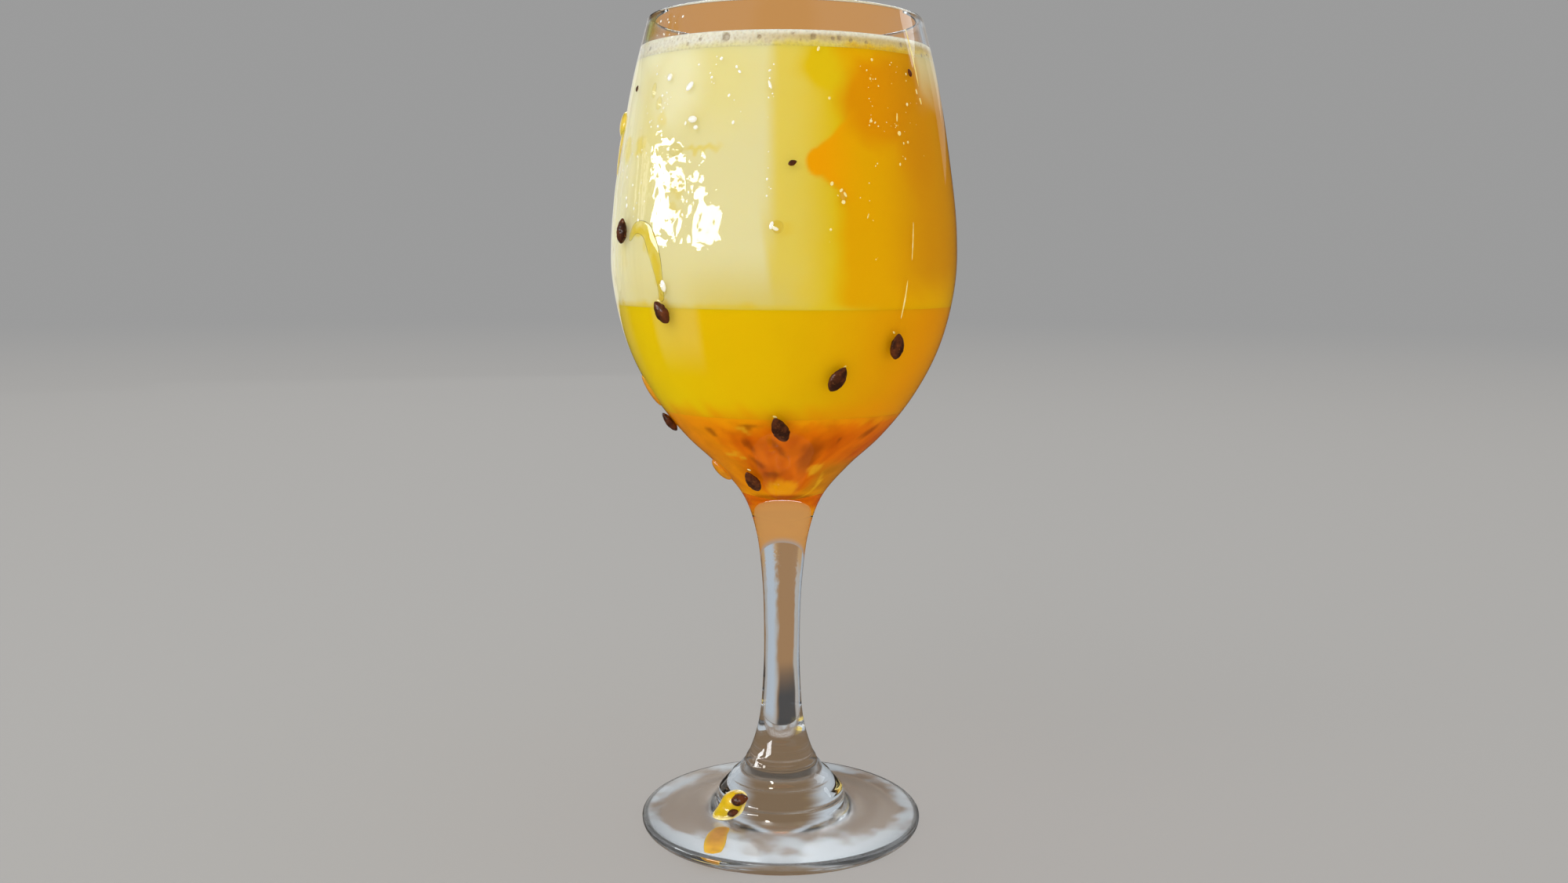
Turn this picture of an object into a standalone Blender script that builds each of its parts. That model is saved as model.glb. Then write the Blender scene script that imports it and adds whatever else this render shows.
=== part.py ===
# A stemmed wine glass of layered passion fruit drink, with seeds and juice on its outside.
# Sizes are in millimetres, and MM turns them into metres where a mesh is made. +Z is up.
# The origin is on the glass's axis, on the surface that it stands on.
# An azimuth of 0 is the front of the glass (-Y), and it grows towards +X.
import math

import bmesh
import bpy
import numpy as np
from mathutils import Matrix, Vector

MM = 0.001
SIDES = 48  # flat sides of every turned piece
GAP = 0.3  # left between pieces that touch

# The foot, from its underside to its edge: a shallow dome inside a flat ring that it stands on.
FOOT_DOME_HEIGHT = 1.5
FOOT_RING_INNER = 30.6
FOOT_RING_OUTER = 33.4
FOOT_RADIUS = 35.46
FOOT_EDGE_HEIGHT = 2.3  # where the edge is widest
FOOT_TOP_RADIUS = 34.2
FOOT_TOP_HEIGHT = 3.3

# The outside of the glass above the foot's edge, as (radius, height): the foot's top and its
# mound, the stem down to its waist, and the bowl out to its widest and in again to the rim.
OUTSIDE = [
    (FOOT_TOP_RADIUS, FOOT_TOP_HEIGHT),
    (26.0, 4.0),
    (19.0, 4.7),
    (16.6, 6.2),
    (15.4, 9.2),
    (12.8, 12.2),
    (9.25, 16.2),
    (5.9, 25.5),
    (4.65, 38.5),
    (4.5, 49.0),
    (5.0, 63.0),
    (6.6, 75.5),
    (9.8, 84.6),
    (16.4, 92.6),
    (24.2, 100.0),
    (32.0, 110.0),
    (38.2, 122.3),
    (41.6, 137.0),
    (41.75, 150.0),
    (39.75, 166.5),
    (36.6, 184.5),
    (32.95, 198.8),
]
STEPS_BETWEEN_POINTS = 2
RIM_HEIGHT = OUTSIDE[-1][1]

# The inside of the bowl: the wall is thickest at the bottom and thins towards the rim.
BOWL_BOTTOM = 86.0
BOTTOM_ROUNDING = 7.0  # height over which the inside curves in to its lowest point
RIM_WALL = 1.3
BOTTOM_WALL = 2.6
WALL_THINS_OVER = 16.0
ROUNDING_RINGS = 5
RING_STEP = 5.0  # between the rings above the rounding, of the wall and of the drink alike

# The drink's levels, each the top of its layer.
PULP_TOP = 107.0
JUICE_TOP = 132.0
MILKY_TOP = 188.6
FOAM_TOP = 191.8

# A seed is a flattened drop, pointed at its upper end.
SEED_LENGTH = 5.8
SEED_WIDTH = 3.6
SEED_THICKNESS = 2.2
SEED_SINK = 0.25  # how deep its lower face lies in the glass's surface
SEED_SIDES = 8
SEED_SECTIONS = 5
SEED_BLUNTNESS = 0.75  # under 1 its ends are rounder than a sine's
SEED_LOWER_SHARE = 1.12  # its width near the blunt end, as a share of the full one
SEED_TAPER = 0.3  # how much narrower it is at its tip

# Each seed on the outside: azimuth, height, lean of its tip towards +azimuth, share of full size.
BOWL_SEEDS = [
    (-61.0, 149.2, 3.0, 1.0),
    (-41.3, 131.3, -35.0, 1.0),
    (40.2, 124.0, -9.0, 1.03),
    (19.3, 117.0, 22.0, 1.03),
    (-1.0, 104.4, -18.0, 1.06),
    (-29.0, 89.9, 4.0, 1.02),
    (-80.0, 103.9, 0.0, 0.96),
]
FOOT_SEEDS = [
    (-47.0, 9.0, 45.0, 0.8),
    (-48.0, 5.9, 45.0, 0.5),
]
SEED_CHIPS = [
    (2.4, 163.6, 70.0, 0.34),
    (-66.5, 181.8, 20.0, 0.26),
    (49.5, 184.6, -20.0, 0.32),
]

# Drops of juice and pulp: azimuth, height, half length up the glass, half width round it, how far
# they stand out, and lean.
DROPS = [
    (-84.0, 174.5, 5.6, 2.4, 1.1, 0.0),
    (-82.0, 167.5, 5.2, 1.8, 0.6, 0.0),
    (-67.5, 168.0, 3.4, 2.0, 0.45, 0.0),
    (-57.0, 168.6, 2.9, 1.5, 0.4, 0.0),
    (-25.0, 166.2, 1.1, 3.8, 0.4, 0.0),
    (-81.5, 111.0, 4.4, 2.4, 0.7, 0.0),
    (-80.0, 91.4, 3.4, 2.6, 1.4, 0.0),
    (-55.0, 6.9, 5.4, 3.8, 1.5, 45.0),
]
DROP_ROOT = 0.6  # how deep a drop reaches into the glass that it is fused to
DROP_SIDES = 10
DROP_SECTIONS = 6

# The run of juice down the wall, as (azimuth, height) from where it starts to the seed below it.
RUN = [
    (-57.5, 147.0),
    (-53.5, 149.8),
    (-47.5, 149.0),
    (-43.5, 143.5),
    (-41.6, 137.5),
    (-41.6, 133.5),
]
RUN_HALF_WIDTH = 1.0
RUN_START_SHARE = 0.7  # its width where it starts, as a share of that where it ends
RUN_END_SHARE = 0.6  # how far its rounded ends reach, as a share of its half width
RUN_SIDES = 6
RUN_STEPS = 2
RUN_FLATNESS = 0.6  # its height off the glass as a share of its half width


def spline(points, steps):
    """The smooth curve through the points, with the given number of steps between each two."""
    points = [Vector(point) for point in points]
    at = [0.0]
    for first, second in zip(points, points[1:]):
        at.append(at[-1] + math.sqrt((second - first).length))
    speed = [(points[1] - points[0]) / (at[1] - at[0])]
    for i in range(1, len(points) - 1):
        before, after = at[i] - at[i - 1], at[i + 1] - at[i]
        arriving = (points[i] - points[i - 1]) / before
        leaving = (points[i + 1] - points[i]) / after
        speed.append((arriving * after + leaving * before) / (before + after))
    speed.append((points[-1] - points[-2]) / (at[-1] - at[-2]))
    curve = []
    for i in range(len(points) - 1):
        span = at[i + 1] - at[i]
        for step in range(steps):
            t = step / steps
            curve.append(
                points[i] * (2 * t**3 - 3 * t**2 + 1)
                + speed[i] * span * (t**3 - 2 * t**2 + t)
                + points[i + 1] * (3 * t**2 - 2 * t**3)
                + speed[i + 1] * span * (t**3 - t**2)
            )
    curve.append(points[-1])
    return [tuple(point) for point in curve]


def quarter(centre, half_width, half_height, start, steps):
    """A quarter of an ellipse from the angle start, in degrees, going anticlockwise."""
    angles = [math.radians(start + 90 * i / steps) for i in range(steps + 1)]
    return [
        (centre[0] + half_width * math.cos(a), centre[1] + half_height * math.sin(a))
        for a in angles
    ]


# The outline read finely: its radii, its heights, and how far along it each of them lies.
FINE_RADII, FINE_HEIGHTS = np.array(spline(OUTSIDE, 16)).T
FINE_LENGTHS = np.append(0.0, np.cumsum(np.hypot(np.diff(FINE_RADII), np.diff(FINE_HEIGHTS))))


def outside_radius(height):
    """The glass's outer radius at a height above the foot's edge."""
    return float(np.interp(height, FINE_HEIGHTS, FINE_RADII))


def outside_slope(height):
    """How much the outer radius grows for each millimetre of height."""
    reach = 0.4  # to each side of the height
    return (outside_radius(height + reach) - outside_radius(height - reach)) / (2 * reach)


def height_along(height, distance):
    """The height reached by going a distance up the glass's outline from another height."""
    start = np.interp(height, FINE_HEIGHTS, FINE_LENGTHS)
    return float(np.interp(start + distance, FINE_LENGTHS, FINE_HEIGHTS))


def inside_radius(height, gap=0.0):
    """The bowl's inner radius at a height, or that of what stands a gap clear of the wall."""
    height = min(height, RIM_HEIGHT)
    rise = height - BOWL_BOTTOM - gap
    wall = RIM_WALL + (BOTTOM_WALL - RIM_WALL) * math.exp(-rise / WALL_THINS_OVER)
    across = math.hypot(1.0, outside_slope(height))
    radius = outside_radius(height) - (wall + gap) * across
    curving = max(0.0, 1.0 - rise / BOTTOM_ROUNDING)
    return radius * math.sqrt(max(0.0, 1.0 - curving**2))


def rounded_heights(gap):
    """Heights of the rings over the bowl's curved-in bottom, or over what stands clear of it."""
    return [
        BOWL_BOTTOM + gap + BOTTOM_ROUNDING * (1 - math.cos(math.pi / 2 * i / ROUNDING_RINGS))
        for i in range(ROUNDING_RINGS)
    ]


def wall_heights(bottom, top):
    """The two ends, and between them the ring heights that the wall and the drink share."""
    first = BOWL_BOTTOM + BOTTOM_ROUNDING
    shared = [first + i * RING_STEP for i in range(int((RIM_HEIGHT - first) / RING_STEP) + 1)]
    between = [height for height in shared if bottom + 1.0 < height < top - 1.0]
    return [bottom] + between + [top]


def glass_profile():
    """The glass's whole outline, from the middle of its underside to the bowl's lowest point."""
    dome = [
        (FOOT_RING_INNER * share, FOOT_DOME_HEIGHT * (1 - share**2) ** 0.8)
        for share in (0.0, 0.4, 0.7, 0.9, 1.0)
    ]
    lower = quarter(
        (FOOT_RING_OUTER, FOOT_EDGE_HEIGHT),
        FOOT_RADIUS - FOOT_RING_OUTER,
        FOOT_EDGE_HEIGHT,
        -90,
        3,
    )
    upper = quarter(
        (FOOT_TOP_RADIUS, FOOT_EDGE_HEIGHT),
        FOOT_RADIUS - FOOT_TOP_RADIUS,
        FOOT_TOP_HEIGHT - FOOT_EDGE_HEIGHT,
        0,
        3,
    )
    outside = spline(OUTSIDE, STEPS_BETWEEN_POINTS)
    rim_inner = inside_radius(RIM_HEIGHT)
    middle, half = (outside[-1][0] + rim_inner) / 2, (outside[-1][0] - rim_inner) / 2
    rim = [
        (middle + half * math.cos(a), RIM_HEIGHT + half * math.sin(a))
        for a in (math.pi * share for share in (0.25, 0.5, 0.75))
    ]
    heights = rounded_heights(0.0) + wall_heights(BOWL_BOTTOM + BOTTOM_ROUNDING, RIM_HEIGHT)
    inside = [(inside_radius(height), height) for height in reversed(heights)]
    return dome + lower + upper[1:] + outside[1:] + rim + inside


def layer_profile(bottom, top):
    """The outline of a layer of drink, from the middle of its underside to that of its top."""
    if bottom > BOWL_BOTTOM:
        heights = wall_heights(bottom, top)
        underside = [(0.0, bottom)]
    else:
        heights = rounded_heights(GAP) + wall_heights(BOWL_BOTTOM + BOTTOM_ROUNDING + GAP, top)
        underside = []
    wall = [(inside_radius(height, GAP), height) for height in heights]
    return underside + wall + [(0.0, top)]


def on_glass(azimuth, height, lean=0.0):
    """A frame on the glass's outside: X up the wall, turned by the lean, Y round it, Z outwards."""
    angle = math.radians(azimuth)
    out = Vector((math.sin(angle), -math.cos(angle), 0.0))
    around = Vector((math.cos(angle), math.sin(angle), 0.0))
    slope = outside_slope(height)
    up = (out * slope + Vector((0.0, 0.0, 1.0))).normalized()
    normal = around.cross(up)
    turned = up * math.cos(math.radians(lean)) + around * math.sin(math.radians(lean))
    side = normal.cross(turned)
    frame = Matrix((turned, side, normal)).transposed().to_4x4()
    frame.translation = out * outside_radius(height) + Vector((0.0, 0.0, height))
    return frame


def material(name, colour, roughness, transmission=0.0):
    made = bpy.data.materials.new(name)
    made.use_nodes = True
    shader = made.node_tree.nodes["Principled BSDF"]
    shader.inputs["Base Color"].default_value = (*colour, 1.0)
    shader.inputs["Roughness"].default_value = roughness
    shader.inputs["Metallic"].default_value = 0.0
    shader.inputs["Transmission Weight"].default_value = transmission
    return made


def finish(name, mesh, look):
    """A smooth, outward-facing object in the scene from a bmesh that is in millimetres."""
    bmesh.ops.remove_doubles(mesh, verts=mesh.verts, dist=0.001)
    bmesh.ops.recalc_face_normals(mesh, faces=mesh.faces)
    bmesh.ops.scale(mesh, vec=(MM, MM, MM), verts=mesh.verts)
    data = bpy.data.meshes.new(name)
    mesh.to_mesh(data)
    mesh.free()
    data.shade_smooth()
    data.set_sharp_from_angle(angle=math.radians(35))
    data.materials.append(look)
    made = bpy.data.objects.new(name, data)
    bpy.context.scene.collection.objects.link(made)
    return made


def turned(name, profile, look):
    """A profile of (radius, height) points spun about the Z axis."""
    mesh = bmesh.new()
    points = [mesh.verts.new((radius, 0.0, height)) for radius, height in profile]
    edges = [mesh.edges.new(pair) for pair in zip(points, points[1:])]
    bmesh.ops.spin(
        mesh,
        geom=points + edges,
        cent=(0.0, 0.0, 0.0),
        axis=(0.0, 0.0, 1.0),
        angle=2 * math.pi,
        steps=SIDES,
        use_merge=True,
    )
    return finish(name, mesh, look)


def closed_rings(mesh, rings, start, end):
    """Faces over rings of vertices, each with a point at its end."""
    loops = [[mesh.verts.new(point) for point in ring] for ring in rings]
    first, last = mesh.verts.new(start), mesh.verts.new(end)
    sides = len(loops[0])
    for i in range(sides):
        j = (i + 1) % sides
        mesh.faces.new((first, loops[0][j], loops[0][i]))
        mesh.faces.new((last, loops[-1][i], loops[-1][j]))
        for low, high in zip(loops, loops[1:]):
            mesh.faces.new((low[i], low[j], high[j], high[i]))


def seed(name, azimuth, height, lean, share, look):
    """A flattened drop lying against the glass. Its width follows a sine, drawn in to a tip."""
    mesh = bmesh.new()
    half = SEED_LENGTH * share / 2
    angles = [2 * math.pi * k / SEED_SIDES for k in range(SEED_SIDES)]
    rings = []
    for i in range(1, SEED_SECTIONS):
        t = i / SEED_SECTIONS
        fullness = math.sin(math.pi * t) ** SEED_BLUNTNESS * (SEED_LOWER_SHARE - SEED_TAPER * t)
        half_width = SEED_WIDTH * share / 2 * fullness
        half_thickness = SEED_THICKNESS * share / 2 * fullness
        rings.append(
            [
                (half * (2 * t - 1), half_width * math.cos(a), half_thickness * math.sin(a))
                for a in angles
            ]
        )
    closed_rings(mesh, rings, (-half, 0.0, 0.0), (half, 0.0, 0.0))
    lift = Matrix.Translation((0.0, 0.0, SEED_THICKNESS * share / 2 - SEED_SINK))
    bmesh.ops.transform(mesh, matrix=on_glass(azimuth, height, lean) @ lift, verts=mesh.verts)
    return finish(name, mesh, look)


def drop(name, azimuth, height, half_length, half_width, stands_out, lean, look):
    """A low dome bent round the glass: a ball flattened to its sizes, its root in the glass."""
    mesh = bmesh.new()
    bmesh.ops.create_uvsphere(
        mesh, u_segments=DROP_SIDES, v_segments=DROP_SECTIONS, radius=1.0
    )
    turn = Matrix.Rotation(math.radians(lean), 2)
    for vertex in mesh.verts:
        up, around = turn @ Vector((vertex.co.x * half_length, vertex.co.y * half_width))
        out = vertex.co.z * (stands_out if vertex.co.z > 0 else DROP_ROOT)
        level = height_along(height, up)
        place = on_glass(azimuth + math.degrees(around / outside_radius(level)), level)
        vertex.co = place @ Vector((0.0, 0.0, out))
    return finish(name, mesh, look)


def run(name, places, look):
    """A flattened string of juice that follows places on the glass and swells at its lower end."""
    mesh = bmesh.new()
    route = spline(places, RUN_STEPS)
    centres = [on_glass(azimuth, height).translation for azimuth, height in route]
    rings = []
    for i, (azimuth, height) in enumerate(route):
        ahead = centres[min(i + 1, len(route) - 1)] - centres[max(i - 1, 0)]
        normal = on_glass(azimuth, height).col[2].to_3d()
        side = normal.cross(ahead).normalized()
        gone = i / (len(route) - 1)
        width = RUN_HALF_WIDTH * (RUN_START_SHARE + (1 - RUN_START_SHARE) * gone)
        rings.append(
            [
                centres[i]
                + side * width * math.cos(2 * math.pi * k / RUN_SIDES)
                + normal * width * RUN_FLATNESS * math.sin(2 * math.pi * k / RUN_SIDES)
                for k in range(RUN_SIDES)
            ]
        )
    reach = RUN_HALF_WIDTH * RUN_END_SHARE
    start = centres[0] + (centres[0] - centres[1]).normalized() * reach
    end = centres[-1] + (centres[-1] - centres[-2]).normalized() * reach
    closed_rings(mesh, rings, start, end)
    return finish(name, mesh, look)


def fuse(base, pieces):
    """One Boolean union of the base with all the pieces, which are then removed."""
    toppings = bpy.data.collections.new("toppings")
    bpy.context.scene.collection.children.link(toppings)
    for piece in pieces:
        bpy.context.scene.collection.objects.unlink(piece)
        toppings.objects.link(piece)
    union = base.modifiers.new("union", "BOOLEAN")
    union.operation = "UNION"
    union.solver = "EXACT"
    union.operand_type = "COLLECTION"
    union.collection = toppings
    bpy.context.view_layer.update()
    evaluated = base.evaluated_get(bpy.context.evaluated_depsgraph_get())
    joined = bpy.data.meshes.new_from_object(evaluated)
    base.modifiers.remove(union)
    base.data = joined
    for piece in pieces:
        bpy.data.objects.remove(piece)
    bpy.data.collections.remove(toppings)


def main():
    for old in list(bpy.data.objects):
        bpy.data.objects.remove(old)
    clear = material("clear_glass", (0.97, 0.98, 0.98), 0.02, 1.0)
    dark = material("seed_brown", (0.12, 0.025, 0.004), 0.25)
    gold = material("pulp_gold", (0.66, 0.35, 0.01), 0.15)
    glass = turned("glass", glass_profile(), clear)
    toppings = []
    for i, place in enumerate(BOWL_SEEDS + FOOT_SEEDS + SEED_CHIPS):
        toppings.append(seed(f"seed_{i}", *place, dark))
    for i, place in enumerate(DROPS):
        toppings.append(drop(f"drop_{i}", *place, gold))
    toppings.append(run("run", RUN, gold))
    fuse(glass, toppings)
    layers = [
        ("pulp_layer", BOWL_BOTTOM, PULP_TOP, (0.58, 0.14, 0.004)),
        ("juice_layer", PULP_TOP + GAP, JUICE_TOP, (0.71, 0.40, 0.005)),
        ("milky_layer", JUICE_TOP + GAP, MILKY_TOP, (0.80, 0.68, 0.28)),
        ("foam", MILKY_TOP + GAP, FOAM_TOP, (0.70, 0.60, 0.36)),
    ]
    for name, bottom, top, colour in layers:
        turned(name, layer_profile(bottom, top), material(name, colour, 0.3))


main()
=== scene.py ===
# The finished surfaces of a stemmed glass of passion fruit drink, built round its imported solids.
# Azimuth 0 is the front of the glass (-Y), and it grows towards +X. In the dictionaries lengths are
# millimetres and angles degrees. Meshes are in metres, +Z up.
import math

import bpy
import numpy as np
from mathutils import Matrix, Vector


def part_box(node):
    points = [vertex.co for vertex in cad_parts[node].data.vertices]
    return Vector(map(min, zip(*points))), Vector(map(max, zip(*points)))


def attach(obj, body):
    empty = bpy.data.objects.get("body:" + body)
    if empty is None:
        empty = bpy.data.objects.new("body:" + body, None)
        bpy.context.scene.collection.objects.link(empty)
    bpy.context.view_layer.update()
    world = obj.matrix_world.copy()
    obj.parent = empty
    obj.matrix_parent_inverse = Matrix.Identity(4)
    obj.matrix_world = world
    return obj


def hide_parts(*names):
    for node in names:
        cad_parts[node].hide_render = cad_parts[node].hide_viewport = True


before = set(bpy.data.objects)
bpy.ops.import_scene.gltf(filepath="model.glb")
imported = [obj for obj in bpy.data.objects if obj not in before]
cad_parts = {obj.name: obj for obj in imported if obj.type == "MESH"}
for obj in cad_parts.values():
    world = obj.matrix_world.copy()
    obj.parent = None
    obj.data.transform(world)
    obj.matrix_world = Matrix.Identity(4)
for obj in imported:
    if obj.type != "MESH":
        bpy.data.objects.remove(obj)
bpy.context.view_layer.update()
mm = 0.001
print("frame loaded:", ", ".join(sorted(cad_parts)))


# Camera: where the photograph was taken from

view = {
    "place": (0.23, -348.7, 144.0),
    "pitchDown": 7.51,
    "roll": 0.353,  # turns the picture clockwise
    "lens": 32.47,
    "sensor": 36.0,
}


def makeCamera():
    pitch, roll = math.radians(view["pitchDown"]), math.radians(view["roll"])
    forward = Vector((0, math.cos(pitch), -math.sin(pitch)))
    level = Vector((1, 0, 0))
    upright = Vector((0, math.sin(pitch), math.cos(pitch)))
    right = level * math.cos(roll) + upright * math.sin(roll)
    up = upright * math.cos(roll) - level * math.sin(roll)
    camera = bpy.data.objects.new("camera", bpy.data.cameras.new("camera"))
    camera.matrix_world = Matrix.Translation(Vector(view["place"]) * mm) @ Matrix(
        (right, up, -forward)
    ).transposed().to_4x4()
    camera.data.lens = view["lens"]
    camera.data.sensor_width = view["sensor"]
    camera.data.clip_start = 0.01
    bpy.context.scene.collection.objects.link(camera)
    bpy.context.scene.camera = camera


# Shape of the glass, the same that its solid has

glassShape = {
    "domeHeight": 1.5,
    "ringInner": 30.6,
    "ringOuter": 33.4,
    "footRadius": 35.46,
    "edgeHeight": 2.3,
    # from the foot's top edge over its mound, up the stem and round the bowl to the rim
    "outline": [
        (34.2, 3.3), (26.0, 4.0), (19.0, 4.7), (16.6, 6.2), (15.4, 9.2), (12.8, 12.2),
        (9.25, 16.2), (5.9, 25.5), (4.65, 38.5), (4.5, 49.0), (5.0, 63.0), (6.6, 75.5),
        (9.8, 84.6), (16.4, 92.6), (24.2, 100.0), (32.0, 110.0), (38.2, 122.3), (41.6, 137.0),
        (41.75, 150.0), (39.75, 166.5), (36.6, 184.5), (32.95, 198.8),
    ],
    "bowlBottom": 86.0,
    "bottomRounding": 7.0,
    "rimWall": 1.3,
    "bottomWall": 2.6,
    "wallThinsOver": 16.0,
}


def smoothCurve(points, steps):
    # A curve through all points: between two of them a cubic whose ends have the slope that the
    # neighbouring points give, with the points spaced by the square root of their distance.
    points = np.asarray(points, float)
    at = np.append(0, np.cumsum(np.sqrt(np.linalg.norm(np.diff(points, axis=0), axis=1))))
    span = np.diff(at)[:, None]
    slope = np.diff(points, axis=0) / span
    speed = np.vstack(
        [slope[:1], (slope[:-1] * span[1:] + slope[1:] * span[:-1]) / (span[1:] + span[:-1]), slope[-1:]]
    )
    t = (np.arange(steps) / steps)[None, :, None]
    first, last = points[:-1, None], points[1:, None]
    leaving, arriving = (speed[:-1] * span)[:, None], (speed[1:] * span)[:, None]
    curve = (
        first * (2 * t**3 - 3 * t**2 + 1)
        + leaving * (t**3 - 2 * t**2 + t)
        + last * (3 * t**2 - 2 * t**3)
        + arriving * (t**3 - t**2)
    )
    return np.vstack([curve.reshape(-1, points.shape[1]), points[-1:]])


fineRadii, fineHeights = smoothCurve(glassShape["outline"], 24).T
fineLengths = np.append(0, np.cumsum(np.hypot(np.diff(fineRadii), np.diff(fineHeights))))
fineSlopes = np.gradient(fineRadii, fineHeights)
rimHeight = fineHeights[-1]


def outerRadius(height):
    return np.interp(height, fineHeights, fineRadii)


def outerSlope(height):
    return np.interp(height, fineHeights, fineSlopes)


def heightAlong(height, distance):
    # The height reached by going a distance up the outline.
    return np.interp(np.interp(height, fineHeights, fineLengths) + distance, fineLengths, fineHeights)


def innerRadius(height, clearance=0.0):
    # The outer radius less the wall, measured square to it. The wall thins upwards, and near the
    # bowl's bottom the radius closes in as an ellipse does. A negative clearance reaches into the wall.
    shape = glassShape
    rise = height - shape["bowlBottom"] - clearance
    wall = shape["rimWall"] + (shape["bottomWall"] - shape["rimWall"]) * np.exp(
        -rise / shape["wallThinsOver"]
    )
    radius = outerRadius(height) - (wall + clearance) * np.hypot(1, outerSlope(height))
    curving = np.clip(1 - rise / shape["bottomRounding"], 0, 1)
    return radius * np.sqrt(1 - curving**2)


def rowsOf(*values):
    # Arrays and numbers side by side along a last axis, all spread to one shape.
    return np.stack(np.broadcast_arrays(*values), axis=-1)


def placeOnGlass(azimuth, height, lift):
    # A point of the outside at an azimuth and a height, moved out along the glass's normal.
    angle, slope = np.radians(azimuth), outerSlope(height)
    across = np.hypot(1, slope)
    radius = outerRadius(height) + lift / across
    return rowsOf(radius * np.sin(angle), -radius * np.cos(angle), height - lift * slope / across)


def patchOnGlass(azimuth, height, lean, along, around, lift):
    # Places of a small patch on the outside: along and around are distances from its centre, up the
    # glass and round it, turned by the lean. They bend with the glass.
    turn = math.radians(lean)
    up = along * math.cos(turn) - around * math.sin(turn)
    side = along * math.sin(turn) + around * math.cos(turn)
    level = heightAlong(height, up)
    return placeOnGlass(azimuth + np.degrees(side / outerRadius(level)), level, lift)


# Meshes from whole arrays


def tubeParts(points, start=None, end=None):
    # Rings of points as (vertices, quads, triangles): four-sided faces between neighbouring rings,
    # and each end closed by a fan to one point.
    rows, columns = points.shape[:2]
    start = points[0].mean(0) if start is None else start
    end = points[-1].mean(0) if end is None else end
    vertices = np.vstack([points.reshape(-1, 3), [start], [end]])
    column = np.arange(columns)
    after = (column + 1) % columns
    ring = np.arange(rows - 1)[:, None] * columns
    quads = rowsOf(ring + column, ring + after, ring + columns + after, ring + columns + column)
    low, last = rows * columns, (rows - 1) * columns
    triangles = np.vstack([rowsOf(low, after, column), rowsOf(low + 1, last + column, last + after)])
    return vertices, quads.reshape(-1, 4), triangles


def circle(count):
    # Angles of so many equal steps round a circle.
    return np.linspace(0, 2 * math.pi, count, endpoint=False)


def putMesh(name, parts, look, replaced=(), masks=None):
    # One piece from several (vertices, quads, triangles) parts, in millimetres. Faces of a part that
    # is inside out are turned round, which the sign of its volume tells.
    vertices, quads, triangles, count = [], [], [], 0
    for points, fours, threes in parts:
        corners = np.vstack([threes, fours[:, [0, 1, 2]], fours[:, [0, 2, 3]]])
        a, b, c = points[corners[:, 0]], points[corners[:, 1]], points[corners[:, 2]]
        if np.einsum("ij,ij->", a, np.cross(b, c)) < 0:
            fours, threes = fours[:, ::-1], threes[:, ::-1]
        vertices.append(points)
        quads.append(fours + count)
        triangles.append(threes + count)
        count += len(points)
    vertices, quads, triangles = np.vstack(vertices) * mm, np.vstack(quads), np.vstack(triangles)
    mesh = bpy.data.meshes.new(name)
    mesh.vertices.add(len(vertices))
    mesh.vertices.foreach_set("co", vertices.astype(np.float32).ravel())
    corners = np.concatenate([quads.ravel(), triangles.ravel()])
    sizes = np.concatenate([np.full(len(quads), 4), np.full(len(triangles), 3)])
    mesh.loops.add(len(corners))
    mesh.loops.foreach_set("vertex_index", corners.astype(np.int32))
    mesh.polygons.add(len(sizes))
    mesh.polygons.foreach_set("loop_start", (np.cumsum(sizes) - sizes).astype(np.int32))
    mesh.polygons.foreach_set("use_smooth", np.ones(len(sizes), bool))
    mesh.update(calc_edges=True)
    for mask, values in (masks or {}).items():
        mesh.attributes.new(mask, "FLOAT", "POINT").data.foreach_set(
            "value", np.asarray(values, np.float32)
        )
    mesh.validate()
    mesh.materials.append(look)
    piece = bpy.data.objects.new(name, mesh)
    bpy.context.scene.collection.objects.link(piece)
    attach(piece, "root")
    if replaced:
        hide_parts(*replaced)
    print(f"{name}: {len(vertices)} points, {len(quads) * 2 + len(triangles)} triangles")
    return piece


def turned(profile, azimuths):
    # A profile of (radius, height) rows carried round the axis. Its two ends lie on the axis.
    angle = np.radians(azimuths)[None, :]
    radius, height = profile[1:-1, 0][:, None], profile[1:-1, 1][:, None]
    rings = rowsOf(radius * np.sin(angle), -radius * np.cos(angle), height)
    return tubeParts(rings, (0, 0, profile[0, 1]), (0, 0, profile[-1, 1]))


def azimuthsOf(count):
    return np.arange(count) * 360 / count


def azimuthAndHeight(points):
    return np.degrees(np.arctan2(points[:, 0], -points[:, 1])), points[:, 2]


# Soft masks and ripples over azimuth and height


def step(value, low, high):
    # Rises smoothly from 0 at low to 1 at high, or falls where high is the lower one.
    t = np.clip((value - low) / (high - low), 0, 1)
    return t * t * (3 - 2 * t)


def away(azimuth, centre):
    # The angle from a centre, between -180 and 180.
    return (azimuth - centre + 180) % 360 - 180


def spot(azimuth, height, atAzimuth, atHeight, halfWidth, halfHeight, lean=0, strength=1, edge=0.5):
    # The strength inside a leaning ellipse and 0 outside it. Its half width is in degrees, and edge is
    # the share of its radius over which it fades.
    turn, degree = math.radians(lean), 0.7  # a degree counts as so many millimetres
    x, y = away(azimuth, atAzimuth) * degree, height - atHeight
    across, along = x * math.cos(turn) - y * math.sin(turn), x * math.sin(turn) + y * math.cos(turn)
    distance = np.hypot(across / (halfWidth * degree), along / halfHeight)
    return strength * step(distance, 1 + edge / 2, 1 - edge / 2)


def spots(azimuth, height, rows, **more):
    # The strongest of several spots at each place.
    return np.maximum.reduce([spot(azimuth, height, *row, **more) for row in rows])


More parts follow.
